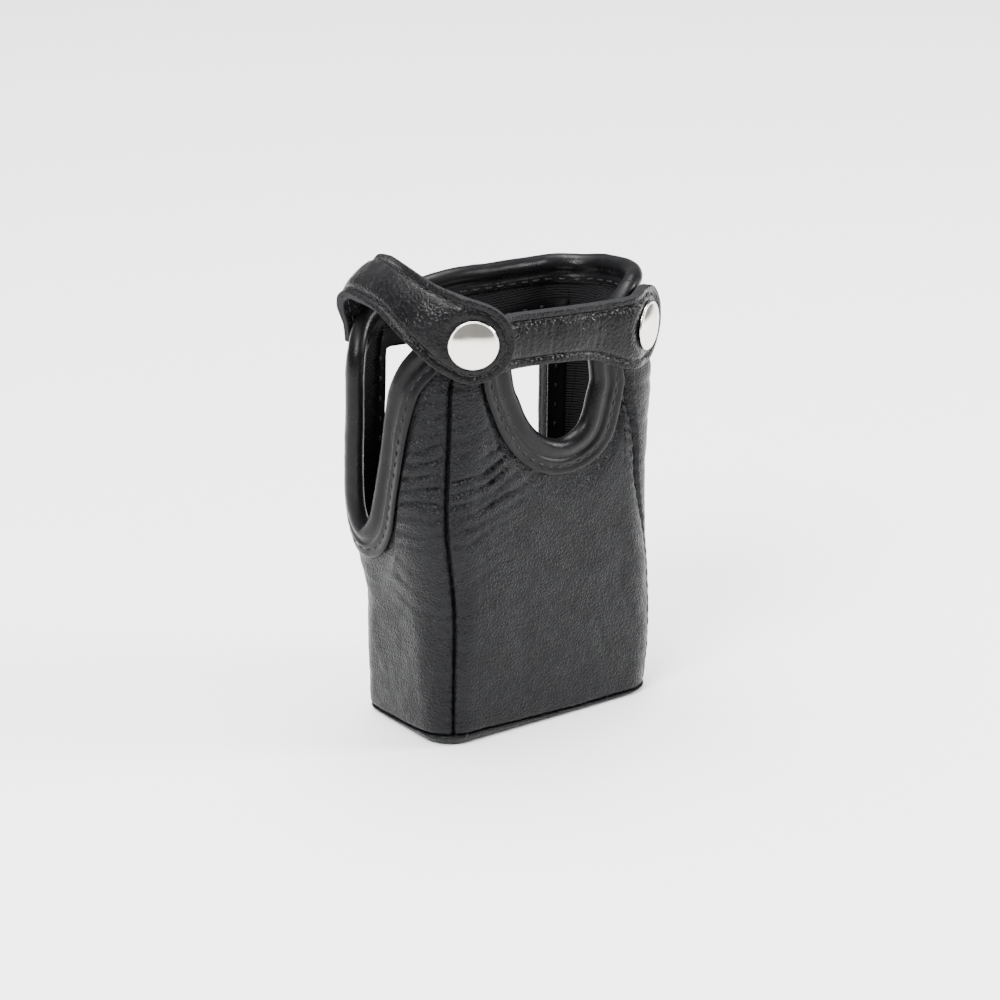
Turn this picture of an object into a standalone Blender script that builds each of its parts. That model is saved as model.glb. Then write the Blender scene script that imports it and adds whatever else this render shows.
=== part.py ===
"""Soft leather carrying case for a pocket radio.

A padded, lined case that stands on its base. Its rim dips in a U at the front and in a
deeper U at the rear of the left side, a rolled binding runs round the whole rim, the back
has a rectangular window, and two snap straps close the top: the left strap, folded behind
the rear left corner, and the front strap across the front cut-out.

The model is in metres, +Z up, with the base on Z = 0, the front facing -Y and the right
side, seen from the front, on +X. The dimensions below are in millimetres.
"""

import math

import bpy
from mathutils import Vector

MM = 0.001

# ---------------------------------------------------------------- driving dimensions (mm)
# Each table lists (height, value): the wall's shape changes smoothly between the heights.
LEFT_WALL = [(0, 34.5), (32, 35.0), (64, 37.5), (92, 37.0), (110, 34.5)]
RIGHT_WALL = [(0, 34.5), (17, 35.5), (60, 33.5), (88, 36.5), (103, 33.5), (114, 35.5)]
FRONT_WALL = [(0, 19.0), (30, 19.5), (114, 18.5)]
BACK_WALL = [(0, 19.0), (114, 18.0)]
CORNER_RADIUS = [
    [(0, 9), (50, 12), (108, 18)],             # front left
    [(0, 9), (60, 10), (88, 13), (103, 19), (114, 17)],   # front right
    [(0, 8), (50, 10), (114, 14)],             # rear right
    [(0, 8), (50, 10), (114, 11)],             # rear left
]
# Where each seam runs, as an angle round its corner from the front (or back) face.
SEAM_ANGLE = [
    [(0, 30), (114, 34)],
    [(0, 45), (38, 48), (66, 16), (90, -6), (103, 12), (114, 30)],
    [(0, 45), (114, 45)],
    [(0, 45), (44, 6)],
]
FLARE = 4.0              # how far the rear left corner stands out at the top
FLARE_PLACE = 3.12       # on the wall, in panels from the front left seam
FLARE_WIDTH = 0.36
FLARE_HEIGHTS = (30, 58)

GAP = 0.3                # between touching pieces
SEAM_GAP = 0.25          # from a seam to each panel's edge
LEATHER = 1.0
FOAM = 0.8
LINING = 0.4
BASE_RISE = 3.2          # height of the seam between the walls and the base

ROLL_RADIUS = 2.45       # rolled edge of the rim, over its filler cord
ROLL_SKIN = 0.6
CORD_RADIUS = 1.25
OUTER_FLANGE = 5.2       # how far the binding reaches down the wall from the cord
INNER_FLANGE = 3.6
FLANGE_LIFT = 0.5        # between the leather and the binding on it
BINDING_TOP = FLANGE_LIFT + ROLL_SKIN
WALL_TOP = 1.9           # from the cord's centre down to the wall's upper edge

WINDOW = (-26.0, 23.0, 40.0, 96.5)     # left, right, bottom, top, in the back panel
WINDOW_CORNER = 2.0
FACING = (-28.8, 29.6, 34.0, 101.2)    # the sheet sewn inside round the window
FACING_THICKNESS = 0.5

STRAP_LEATHER = 0.8
STRAP_PAD = 0.3
STRAP_STEP = 3.6         # length of one stretch of a strap's mesh
TAB_RADIUS = 10.2        # of a strap's round end, about its snap's axis
TAB_NECK = 6.4           # from the snap's axis back to its strap's neck
TAB_NECK_HALF_WIDTH = 9.5

CAP_RADIUS = 6.25
CAP_HEIGHT = 1.9
SNAP_SEAT = 1.5          # a stud's base above the leather, clear of the binding
POST_RADIUS = 1.3
HOLE_RADIUS = 1.65
STRAP_DEPTH = 2 * STRAP_LEATHER + STRAP_PAD + 2 * GAP
LEFT_SNAP = {"turn": -30.0, "place": (0, -23.9), "height": 109.4,
             "seat": SNAP_SEAT + STRAP_DEPTH + GAP, "through_wall": False}
RIGHT_SNAP = {"turn": 31.0, "place": (1, -16.2), "height": 103.0, "seat": SNAP_SEAT,
              "through_wall": True}

# The rim's filler cord passes through these places: panel (0 front, 1 right, 2 back,
# 3 left), the x on the front and back or the y on the sides (None is the seam at the
# panel's start), and the height.
RIM_PLACES = [
    (0, None, 113.2), (0, -20.0, 110.2), (0, -15.2, 101.0), (0, -13.0, 91.0),
    (0, -8.6, 81.8), (0, -2.6, 76.0), (0, 4.6, 74.2), (0, 11.2, 77.4), (0, 14.4, 86.0),
    (0, 14.8, 96.0), (0, 17.0, 105.4), (1, None, 111.2), (1, -8.0, 112.4), (1, 5.0, 111.2),
    (2, None, 110.0), (2, 8.0, 110.9), (2, -8.0, 111.2), (3, None, 107.4),
    (3, 16.6, 99.8), (3, 14.8, 88.0), (3, 14.6, 72.0), (3, 13.8, 59.0), (3, 9.4, 52.0),
    (3, 3.6, 57.5), (3, 0.2, 71.0), (3, -2.0, 86.0), (3, -5.6, 98.4), (3, -12.0, 107.8),
]
PANEL_COLUMNS = (22, 12, 18, 26)
COLUMN_STEP = 0.006      # least distance between columns, in panels
WALL_BEND_STEP = 22.0    # extra length that a radian of the wall's bend counts for
RIM_BEND_STEP = 6.0      # the same for a radian of the rim's bend
ROW_RISES = (0.0, 0.17, 0.34, 0.5, 0.64, 0.77, 0.89, 1.0)   # up to the binding's edge


# ------------------------------------------------------------------------- wall surface
def at_height(table, height):
    """The smoothly changing value of a (height, value) table."""
    if height <= table[0][0]:
        return table[0][1]
    for (low, first), (high, second) in zip(table, table[1:]):
        if height <= high:
            t = (height - low) / (high - low)
            return first + (second - first) * t * t * (3 - 2 * t)
    return table[-1][1]


class Section:
    """The case's outline at one height: four straight sides joined by four arcs."""

    def __init__(self, height):
        left, right = at_height(LEFT_WALL, height), at_height(RIGHT_WALL, height)
        front, back = at_height(FRONT_WALL, height), at_height(BACK_WALL, height)
        radius = [at_height(table, height) for table in CORNER_RADIUS]
        angle = [math.radians(at_height(table, height)) for table in SEAM_ANGLE]
        centre = [
            Vector((radius[0] - left, radius[0] - front)),
            Vector((right - radius[1], radius[1] - front)),
            Vector((right - radius[2], back - radius[2])),
            Vector((radius[3] - left, back - radius[3])),
        ]
        self.parts = []
        start = 0.0
        seams = []
        for side in range(4):
            after = (side + 1) % 4
            heading = math.radians(-90 + 90 * side)
            straight = (centre[after] - centre[side]).length
            if side == 0:
                seams.append(-angle[0] * radius[0])
            self.parts.append((start, "side", centre[side], centre[after],
                               radius[side], radius[after], heading, straight))
            start += straight
            arc = radius[after] * math.pi / 2
            turn = angle[after] if side % 2 == 0 else math.pi / 2 - angle[after]
            if after:
                seams.append(start + turn * radius[after])
            self.parts.append((start, "arc", centre[after], None,
                               radius[after], None, heading, arc))
            start += arc
        self.around = start
        self.seams = seams + [seams[0] + self.around]

    def length(self, panel):
        return self.seams[panel + 1] - self.seams[panel]

    def at(self, place):
        """Point and outward direction at a place counted in panels from the first seam."""
        place %= 4
        panel = min(int(place), 3)
        distance = self.seams[panel] + (place - panel) * self.length(panel)
        distance %= self.around
        for start, kind, centre, after, radius, radius_after, heading, size in self.parts:
            if distance <= start + size + 1e-9:
                break
        along = distance - start
        if kind == "arc":
            heading += along / radius
            outward = Vector((math.cos(heading), math.sin(heading)))
            return centre + outward * radius, outward
        t = along / size
        outward = Vector((math.cos(heading), math.sin(heading)))
        middle = centre.lerp(after, t)
        return middle + outward * (radius + (radius_after - radius) * t), outward


def flare(place, height):
    """Outward lean of the rear left corner."""
    low, high = FLARE_HEIGHTS
    t = min(max((height - low) / (high - low), 0.0), 1.0)
    away = (place % 4 - FLARE_PLACE) / FLARE_WIDTH
    return FLARE * math.exp(-away * away) * t * t * (3 - 2 * t)


def wall(place, height, offset=0.0):
    """Point on the case's outer leather, moved outwards by offset, and its normal."""
    point, outward = Section(height).at(place)
    point = point + outward * (offset + flare(place, height))
    return Vector((point.x, point.y, height)), Vector((outward.x, outward.y, 0.0))


def place_of(panel, coordinate, height):
    """The place on a panel whose x (front, back) or y (sides) is the coordinate."""
    axis = panel % 2
    low, high = float(panel), panel + 1 - 1e-9
    rising = wall(high, height)[0][axis] > wall(low, height)[0][axis]
    for _ in range(40):
        middle = (low + high) / 2
        if (wall(middle, height)[0][axis] < coordinate) == rising:
            low = middle
        else:
            high = middle
    return low


# ------------------------------------------------------------------------- rim and rows
RIM = [(float(panel) if across is None else place_of(panel, across, height), height)
       for panel, across, height in RIM_PLACES]
SEAM_INDEX = [i for i, entry in enumerate(RIM_PLACES) if entry[1] is None] + [len(RIM)]


def rim(t):
    """Place and height of the filler cord's centre; t counts the rim's places."""
    count = len(RIM)
    index = math.floor(t)
    f = t - index
    near = []
    for step in (-1, 0, 1, 2):
        turn, i = divmod(index + step, count)
        near.append(Vector((RIM[i][0] + 4 * turn, RIM[i][1])))
    a, b, c, d = near
    return 0.5 * (2 * b + (c - a) * f + (2 * a - 5 * b + 4 * c - d) * f * f
                  + (3 * b - a - 3 * c + d) * f * f * f)


def rim_columns(panel):
    """Rim parameters along one panel, closer together where the wall or the rim bends."""
    first, last = SEAM_INDEX[panel], SEAM_INDEX[panel + 1]
    fine = [first + (last - first) * i / 240 for i in range(241)]
    places = [wall(*rim(t)) for t in fine]
    travelled = [0.0]
    before_along = None
    for (point, normal), (next_point, next_normal) in zip(places, places[1:]):
        along = next_point - point
        bend = WALL_BEND_STEP * (next_normal - normal).length
        if before_along:
            bend += RIM_BEND_STEP * along.angle(before_along)
        before_along = along
        travelled.append(travelled[-1] + along.length + bend)
    columns = []
    count = PANEL_COLUMNS[panel]
    j = 0
    for i in range(count + 1):
        goal = travelled[-1] * i / count
        while j < 239 and travelled[j + 1] < goal:
            j += 1
        f = (goal - travelled[j]) / (travelled[j + 1] - travelled[j])
        columns.append(fine[j] + (fine[j + 1] - fine[j]) * f)
    return columns


def rim_frame(t):
    """The rim's place, height and, across the edge and inside the wall, its direction."""
    place, height = rim(t)
    step = 1e-3
    along = wall(*rim(t + step))[0] - wall(*rim(t - step))[0]
    normal = wall(place, height)[1]
    across = normal.cross(along).normalized()
    return place, height, across


def from_rim(t, away, offset):
    """Point at a distance from the cord's centre, along the wall, and at an offset."""
    place, height, across = rim_frame(t)
    level = wall(place + 1e-4, height)[0] - wall(place - 1e-4, height)[0]
    level.normalize()
    panel = min(int(place % 4), 3)
    place += away * across.dot(level) / Section(height).length(panel)
    height += away * across.z
    return wall(place, height, offset)[0]


def below_rim(t, down, panel):
    """Place and height at a distance down the wall from the cord, kept on the panel."""
    place, height, across = rim_frame(t)
    level = wall(place + 1e-4, height)[0] - wall(place - 1e-4, height)[0]
    level.normalize()
    place -= down * across.dot(level) / Section(height).length(panel)
    return min(max(place, panel), panel + 1), height - down * across.z


# -------------------------------------------------------------------------- mesh making
def material(name, colour, roughness, metallic=0.0):
    made = bpy.data.materials.new(name)
    made.use_nodes = True
    shader = made.node_tree.nodes["Principled BSDF"]
    shader.inputs["Base Color"].default_value = (*colour, 1.0)
    shader.inputs["Roughness"].default_value = roughness
    shader.inputs["Metallic"].default_value = metallic
    return made


def add_object(name, points, faces, finish, origin=Vector((0, 0, 0))):
    """An object from points in millimetres, with its origin at the given point."""
    mesh = bpy.data.meshes.new(name)
    mesh.from_pydata([(point - origin) * MM for point in points], [], faces)
    if finish:
        mesh.materials.append(finish)
    mesh.validate()
    mesh.shade_smooth()
    mesh.set_sharp_from_angle(angle=math.radians(35))
    made = bpy.data.objects.new(name, mesh)
    made.location = origin * MM
    bpy.context.scene.collection.objects.link(made)
    return made


def sheet_solid(name, outer, inner, finish, origin=Vector((0, 0, 0))):
    """A closed sheet from two equal grids of points, rows by columns."""
    rows, columns = len(outer), len(outer[0])
    points = [point for row in outer for point in row]
    points += [point for row in inner for point in row]
    half = rows * columns
    faces = []
    for r in range(rows - 1):
        for c in range(columns - 1):
            a, b = r * columns + c, r * columns + c + 1
            d, e = a + columns, b + columns
            faces += [(a, b, e), (a, e, d)]
            faces += [(half + a, half + e, half + b), (half + a, half + d, half + e)]
    border = [c for c in range(columns)]
    border += [r * columns + columns - 1 for r in range(1, rows)]
    border += [(rows - 1) * columns + c for c in range(columns - 2, -1, -1)]
    border += [r * columns for r in range(rows - 2, 0, -1)]
    for i, a in enumerate(border):
        b = border[(i + 1) % len(border)]
        faces.append((b, a, half + a, half + b))
    return add_object(name, points, faces, finish, origin)


def ring_solid(name, rings, finish):
    """A closed tube whose cross-sections, all alike in number, follow a closed loop."""
    count, sides = len(rings), len(rings[0])
    points = [point for ring in rings for point in ring]
    faces = []
    for i in range(count):
        j = (i + 1) % count
        for s in range(sides):
            t = (s + 1) % sides
            a, b, c, d = i * sides + s, j * sides + s, j * sides + t, i * sides + t
            faces += [(a, b, c), (a, c, d)]
    return add_object(name, points, faces, finish)


def turned_solid(name, profile, snap, finish, sides=20):
    """A solid of revolution about a snap's axis; the profile is (radius, distance)."""
    axis, centre = snap["axis"], snap["centre"]
    side = axis.cross(Vector((0, 0, 1))).normalized()
    up = axis.cross(side)
    points = []
    rings = []
    for radius, distance in profile:
        if radius == 0:
            rings.append([len(points)])
            points.append(centre + axis * distance)
            continue
        ring = []
        for i in range(sides):
            turn = 2 * math.pi * i / sides
            ring.append(len(points))
            direction = side * math.cos(turn) + up * math.sin(turn)
            points.append(centre + axis * distance + direction * radius)
        rings.append(ring)
    faces = []
    for low, high in zip(rings, rings[1:]):
        for i in range(sides):
            j = (i + 1) % sides
            if len(low) == 1:
                faces.append((low[0], high[j], high[i]))
            elif len(high) == 1:
                faces.append((low[i], low[j], high[0]))
            else:
                faces.append((low[i], low[j], high[j], high[i]))
    return add_object(name, points, faces, finish, snap.get("origin", Vector((0, 0, 0))))


def hide_cutter(cutter):
    cutter.hide_render = True
    cutter.display_type = "WIRE"


def cut(made, cutter):
    """A Boolean difference, kept as a modifier."""
    modifier = made.modifiers.new("cut", "BOOLEAN")
    modifier.operation = "DIFFERENCE"
    modifier.solver = "EXACT"
    modifier.object = cutter


# ----------------------------------------------------------------------- walls and base
PANEL_NAMES = ("front", "right", "back", "left")


def on_seams(row, panel):
    """A row whose ends lie on the panel's two seams, and whose columns keep a little apart."""
    last = len(row) - 1
    spread = []
    for c, (place, height) in enumerate(row):
        nearest = panel + c * COLUMN_STEP
        farthest = panel + 1 - (last - c) * COLUMN_STEP
        spread.append((min(max(place, nearest), farthest), height))
    spread[0] = (panel, row[0][1])
    spread[-1] = (panel + 1, row[-1][1])
    return spread


def wall_rows(panel):
    """Places and heights of one wall's grid, from the base seam up under the binding."""
    columns = rim_columns(panel)
    covered = on_seams([below_rim(t, OUTER_FLANGE + 1.0, panel) for t in columns], panel)
    rows = []
    for rise in ROW_RISES:
        row = []
        for c, (top_place, top_height) in enumerate(covered):
            start = panel + c / PANEL_COLUMNS[panel]
            row.append((start + (top_place - start) * rise,
                        BASE_RISE + (top_height - BASE_RISE) * rise))
        rows.append(row)
    rows.append(on_seams([below_rim(t, WALL_TOP, panel) for t in columns], panel))
    return rows


def wall_layer(name, panel, rows, outside, thickness, finish):
    """One layer of one wall."""
    outer, inner = [], []
    for row in rows:
        inset = []
        for place, height in row:
            margin = SEAM_GAP / Section(height).length(panel)
            inset.append((panel + margin + (place - panel) * (1 - 2 * margin), height))
        outer.append([wall(place, height, outside)[0] for place, height in inset])
        inner.append([wall(place, height, outside - thickness)[0] for place, height in inset])
    return sheet_solid(name, outer, inner, finish)


def outline(offset, height, count=40):
    """The case's outline, as a ring of points."""
    lift = Vector((0, 0, height - BASE_RISE))
    return [wall(4 * i / count, BASE_RISE, offset)[0] + lift for i in range(count)]


def lidded(name, rings, finish):
    """A closed solid from a stack of rings, with a flat face at each end."""
    sides = len(rings[0])
    points = [point for ring in rings for point in ring]
    faces = [tuple(reversed(range(sides)))]
    for i in range(len(rings) - 1):
        for s in range(sides):
            t = (s + 1) % sides
            faces.append((i * sides + s, i * sides + t, (i + 1) * sides + t, (i + 1) * sides + s))
    last = (len(rings) - 1) * sides
    faces.append(tuple(last + s for s in range(sides)))
    return add_object(name, points, faces, finish)


def make_base(leather, board, cloth):
    """Leather base turned up at its edge, a stiff board on it and the lining's floor."""
    edge = BASE_RISE - GAP
    turn_up = 3.0
    outside = [outline(-turn_up, 0.0)]
    steps = 3
    for i in range(1, steps + 1):
        angle = math.pi / 2 * i / steps
        outside.append(outline(-turn_up * (1 - math.sin(angle)), edge * (1 - math.cos(angle))))
    inside = []
    for i in range(steps, -1, -1):
        angle = math.pi / 2 * i / steps
        inside.append(outline(-LEATHER - (turn_up - LEATHER + 0.4) * (1 - math.sin(angle)),
                              edge - (edge - LEATHER) * math.cos(angle)))
    lidded("bottom_panel", outside + inside, leather)
    board_inset = -4.2
    lidded("base_board", [outline(board_inset, LEATHER + GAP), outline(board_inset, BASE_RISE - 0.5)],
           board)
    floor_inset = -(LEATHER + FOAM + LINING + 3 * GAP)
    lidded("bottom_lining",
           [outline(floor_inset, BASE_RISE - 0.2), outline(floor_inset, BASE_RISE + LINING - 0.2)],
           cloth)


def window_cutter(name, grow):
    """A rounded box through the back wall."""
    left, right, bottom, top = WINDOW
    radius = WINDOW_CORNER + grow
    corners = [(right + grow - radius, top + grow - radius, 0),
               (left - grow + radius, top + grow - radius, 90),
               (left - grow + radius, bottom - grow + radius, 180),
               (right + grow - radius, bottom - grow + radius, 270)]
    ring = []
    for x, z, start in corners:
        for step in range(4):
            angle = math.radians(start + 30 * step)
            ring.append((x + radius * math.cos(angle), z + radius * math.sin(angle)))
    near = [Vector((x, 6.0, z)) for x, z in ring]
    far = [Vector((x, 34.0, z)) for x, z in ring]
    count = len(ring)
    faces = [tuple(range(count)), tuple(reversed(range(count, 2 * count)))]
    for i in range(count):
        j = (i + 1) % count
        faces.append((j, i, count + i, count + j))
    cutter = add_object(name, near + far, faces, None)
    hide_cutter(cutter)
    return cutter


def make_walls(leather, foam, cloth):
    layers = {}
    for panel, side in enumerate(PANEL_NAMES):
        depth = 0.0
        rows = wall_rows(panel)
        for kind, thickness, finish in (("panel", LEATHER, leather), ("foam", FOAM, foam),
                                        ("lining", LINING, cloth)):
            name = f"{side}_{kind}"
            layers[name] = wall_layer(name, panel, rows, -depth, thickness, finish)
            depth += thickness + GAP
    return layers


def make_facing(finish):
    """Smooth leather sheet sewn inside the back wall round its window."""
    left, right, bottom, top = FACING
    depth = LEATHER + FOAM + LINING + 3 * GAP
    rows, columns = 6, 12
    outer, inner = [], []
    for r in range(rows + 1):
        height = bottom + (top - bottom) * r / rows
        first = place_of(2, right, height)
        last = place_of(2, left, height)
        places = [first + (last - first) * c / columns for c in range(columns + 1)]
        outer.append([wall(place, height, -depth)[0] for place in places])
        inner.append([wall(place, height, -depth - FACING_THICKNESS)[0] for place in places])
    return sheet_solid("window_facing", outer, inner, finish)


def make_binding(finish, cord_finish):
    """The rolled binding, open along its lower side, and the cord that fills its roll."""
    centre = FLANGE_LIFT + ROLL_SKIN - ROLL_RADIUS
    hollow = ROLL_RADIUS - ROLL_SKIN
    arc = [math.pi * i / 4 for i in range(5)]
    profile = [(centre + ROLL_RADIUS, -OUTER_FLANGE)]
    profile += [(centre + ROLL_RADIUS * math.cos(a), ROLL_RADIUS * math.sin(a)) for a in arc]
    profile += [(centre - ROLL_RADIUS, -INNER_FLANGE)]
    profile += [(centre - ROLL_RADIUS + FACING_THICKNESS, -INNER_FLANGE)]
    profile += [(centre - hollow * math.cos(a), hollow * math.sin(a)) for a in arc]
    profile += [(centre + hollow, -OUTER_FLANGE)]
    turns = [2 * math.pi * i / 6 for i in range(6)]
    rings, cord_rings = [], []
    for panel in range(4):
        for t in rim_columns(panel)[:-1]:
            rings.append([from_rim(t, away, offset) for offset, away in profile])
            cord_rings.append([from_rim(t, CORD_RADIUS * math.sin(turn),
                                        centre + CORD_RADIUS * math.cos(turn))
                               for turn in turns])
    ring_solid("rim_cord", cord_rings, cord_finish)
    ring_solid("rim_binding", rings, finish)


# ------------------------------------------------------------------------------- snaps
# Distances along a snap's axis, from the seat of its stud.
STUD_BASE = 0.4
STUD_TOP = 1.7
SOCKET_FROM, SOCKET_TO = 0.7, 2.1
STRAP_FROM = SOCKET_TO + GAP
STRAP_MIDDLE = STRAP_FROM + STRAP_DEPTH / 2
CAP_FROM = STRAP_FROM + STRAP_DEPTH + GAP
BACKING_DEPTH = 5.0      # from the outer leather in to the disc behind a stud


def place_snap(snap):
    """Work out where a snap's axis meets the outer leather and which way it points."""
    turn = math.radians(snap["turn"])
    panel, across = snap["place"]
    height = snap["height"]
    snap["axis"] = Vector((math.sin(turn), -math.cos(turn), 0.0))
    snap["level"] = Vector((math.cos(turn), math.sin(turn), 0.0))
    snap["centre"] = wall(place_of(panel, across, height), height)[0]


def on_snap(snap, distance):
    """Point on a snap's axis, at a distance from its seat."""
    return snap["centre"] + snap["axis"] * (snap["seat"] + distance)


def make_snap(side, snap, metal, origin):
    """A press stud: cap and socket on the strap, stud and post on the case.

    The right post passes through the wall to a backing disc. The left one sits on the
    binding, inside the fixed end of the front strap.
    """
    seat = snap["seat"]
    moving = dict(snap, origin=origin)
    dome = [(CAP_RADIUS * math.cos(a), seat + CAP_FROM + 0.4 + (CAP_HEIGHT - 0.4) * math.sin(a))
            for a in (0, 0.35, 0.75, 1.15)]
    cap = [(0, seat + SOCKET_TO + GAP), (POST_RADIUS, seat + SOCKET_TO + GAP),
           (POST_RADIUS, seat + CAP_FROM), (CAP_RADIUS, seat + CAP_FROM)]
    cap += dome + [(0, seat + CAP_FROM + CAP_HEIGHT)]
    turned_solid(f"{side}_snap_cap", cap, moving, metal, 28)
    plate = seat + SOCKET_TO - 0.35
    socket = [(0, plate), (3.4, plate), (3.4, seat + SOCKET_FROM), (4.4, seat + SOCKET_FROM),
              (5.0, seat + SOCKET_FROM + 0.5), (5.0, seat + SOCKET_TO), (0, seat + SOCKET_TO)]
    turned_solid(f"{side}_snap_socket", socket, moving, metal)
    stud = [(0, seat), (3.9, seat), (3.9, seat + STUD_BASE), (1.7, seat + STUD_BASE),
            (1.7, seat + 0.9), (2.3, seat + 1.2), (2.0, seat + STUD_TOP - 0.1),
            (0, seat + STUD_TOP - 0.05)]
    turned_solid(f"{side}_snap_stud", stud, snap, metal)
    if snap["through_wall"]:
        post = [(0, -BACKING_DEPTH - 0.5), (3.2, -BACKING_DEPTH - 0.5), (3.2, -BACKING_DEPTH),
                (POST_RADIUS, -BACKING_DEPTH)]
    else:
        post = [(0, BINDING_TOP + GAP), (POST_RADIUS, BINDING_TOP + GAP)]
    post += [(POST_RADIUS, seat - GAP), (0, seat - GAP)]
    turned_solid(f"{side}_snap_post", post, snap, metal, 16)


def snap_cutter(side, snap):
    """A slim rod along a snap's axis, for its hole through leather and lining."""
    rod = [(0, -9.0), (HOLE_RADIUS, -9.0), (HOLE_RADIUS, 14.0), (0, 14.0)]
    cutter = turned_solid(f"{side}_hole", rod, snap, None, 12)
    hide_cutter(cutter)
    return cutter


# ------------------------------------------------------------------------------ straps
def smooth_path(stations):
    """Evenly spaced stations along a smooth curve; each holds centre, width, half width."""
    fine = []
    last = len(stations) - 1
    for index in range(last):
        near = [stations[min(max(index + k, 0), last)] for k in (-1, 0, 1, 2)]
        for step in range(16):
            f = step / 16
            fine.append([0.5 * (2 * b + (c - a) * f + (2 * a - 5 * b + 4 * c - d) * f * f
                                + (3 * b - a - 3 * c + d) * f ** 3)
                         for a, b, c, d in zip(*near)])
    fine.append(list(stations[-1]))
    travelled = [0.0]
    for before, after in zip(fine, fine[1:]):
        travelled.append(travelled[-1] + (after[0] - before[0]).length)
    return fine, travelled


def station_at(fine, travelled, distance):
    for i in range(len(fine) - 1):
        if distance <= travelled[i + 1] or i == len(fine) - 2:
            f = (distance - travelled[i]) / (travelled[i + 1] - travelled[i])
            return [a + (b - a) * f for a, b in zip(fine[i], fine[i + 1])]


def strap_frames(stations, round_end):
    """Frames along a strap: centre, width direction, outward direction, half width."""
    fine, travelled = smooth_path(stations)
    total = travelled[-1]
    flat = total - (TAB_RADIUS if round_end else 0.0)
    count = max(2, round(flat / STRAP_STEP))
    distances = [flat * i / count for i in range(count + 1)]
    shrink = [1.0] * (count + 1)
    if round_end:
        for turn in (25, 48, 66, 80):
            angle = math.radians(turn)
            distances.append(flat + TAB_RADIUS * math.sin(angle))
            shrink.append(math.cos(angle))
    frames = []
    for distance, narrow in zip(distances, shrink):
        centre, width, half = station_at(fine, travelled, distance)
        ahead = station_at(fine, travelled, min(distance + 0.2, total))[0]
        behind = station_at(fine, travelled, max(distance - 0.2, 0.0))[0]
        along = (ahead - behind).normalized()
        width = (width - along * width.dot(along)).normalized()
        frames.append((centre, width, along.cross(width), half * narrow))
    return frames


def strap_layer(name, frames, low, high, narrower, finish, origin):
    """One layer of a strap, from low to high along its outward direction."""
    outer, inner = [], []
    for centre, width, outward, half in frames:
        half = max(half - narrower, 0.6)
        across = [centre + width * half * k for k in (1, 0.4, -0.4, -1)]
        outer.append([point + outward * high for point in across])
        inner.append([point + outward * low for point in across])
    return sheet_solid(name, outer, inner, finish, origin)


def make_strap(name, frames, leather, pad, origin):
    """Outer leather, thin padding and inner leather of one strap."""
    top = STRAP_DEPTH / 2
    outer = strap_layer(f"{name}_outer", frames, top - STRAP_LEATHER, top, 0.0, leather, origin)
    middle = strap_layer(f"{name}_pad", frames[1:-2], -STRAP_PAD / 2, STRAP_PAD / 2, 3.4, pad,
                         origin)
    inner = strap_layer(f"{name}_lining", frames, -top, STRAP_LEATHER - top, 0.0, leather, origin)
    return [outer, middle, inner]


def tab_stations(snap, distance, dip, sag):
    """The last stations of a strap that ends round its snap, dipping by an angle.

    The first of them sags a little towards the case, so that the strap lies flat at the snap.
    """
    angle = math.radians(dip)
    up = Vector((0, 0, 1))
    along = snap["level"] * math.cos(angle) - up * math.sin(angle)
    width = snap["level"] * math.sin(angle) + up * math.cos(angle)
    middle = on_snap(snap, distance)
    return [(middle - along * TAB_NECK - snap["axis"] * sag, width, TAB_NECK_HALF_WIDTH),
            (middle, width, TAB_RADIUS), (middle + along * TAB_RADIUS, width, TAB_RADIUS)]


LEFT_DIP = 28.0          # slope of the left strap at its snap
CREASE = Vector((-33.7, 12.2, 118.0))   # middle of the left strap's fold
CREASE_WIDTH = Vector((0.85, 0.30, 0.43)).normalized()
CREASE_CLEARANCE = 1.5   # from the fold's line to the stretches on each side of it
FRONT_BEND_X = -13.6     # where the front strap's free stretch starts


def behind_wall(x, height, clear):
    """Middle of a strap that lies clear of the back of the case."""
    return wall(place_of(2, x, height), height, clear + STRAP_DEPTH / 2)[0]


def left_strap_stations():
    front = [(CREASE, CREASE_WIDTH, 7.3),
             (Vector((-36.8, -2.5, 119.2)), Vector((0.66, -0.02, 0.75)), 6.7),
             (Vector((-36.4, -14.0, 116.2)), Vector((0.53, -0.12, 0.84)), 7.8)]
    front += tab_stations(LEFT_SNAP, STRAP_MIDDLE, LEFT_DIP, 0.3)
    rear = [(behind_wall(-25.5, 98.0, SNAP_SEAT), Vector((1.0, 0.0, 0.10)), 7.6),
            (behind_wall(-26.5, 104.0, SNAP_SEAT), Vector((1.0, 0.0, 0.20)), 7.8),
            (Vector((-29.2, 23.6, 110.6)), Vector((0.92, 0.15, 0.36)), 7.6),
            (Vector((-32.0, 19.2, 115.4)), Vector((0.88, 0.24, 0.40)), 7.5),
            (CREASE, CREASE_WIDTH, 7.3)]
    return front, rear


def make_left_strap(leather, pad):
    """The left strap: a rear stretch sewn to the back and a front stretch that opens."""
    front, rear = left_strap_stations()
    frames = strap_frames(front, True)
    hinge = CREASE + frames[0][2] * (STRAP_DEPTH / 2)
    front_frames = [frame for frame in frames if (frame[0] - CREASE).length > CREASE_CLEARANCE]
    rear_frames = [frame for frame in strap_frames(rear, False)
                   if (frame[0] - CREASE).length > CREASE_CLEARANCE]
    here = Vector((0, 0, 0))
    front_parts = make_strap("left_strap", front_frames, leather, pad, hinge)
    make_strap("left_strap_rear", rear_frames, leather, pad, here)
    return hinge, front_parts


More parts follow.
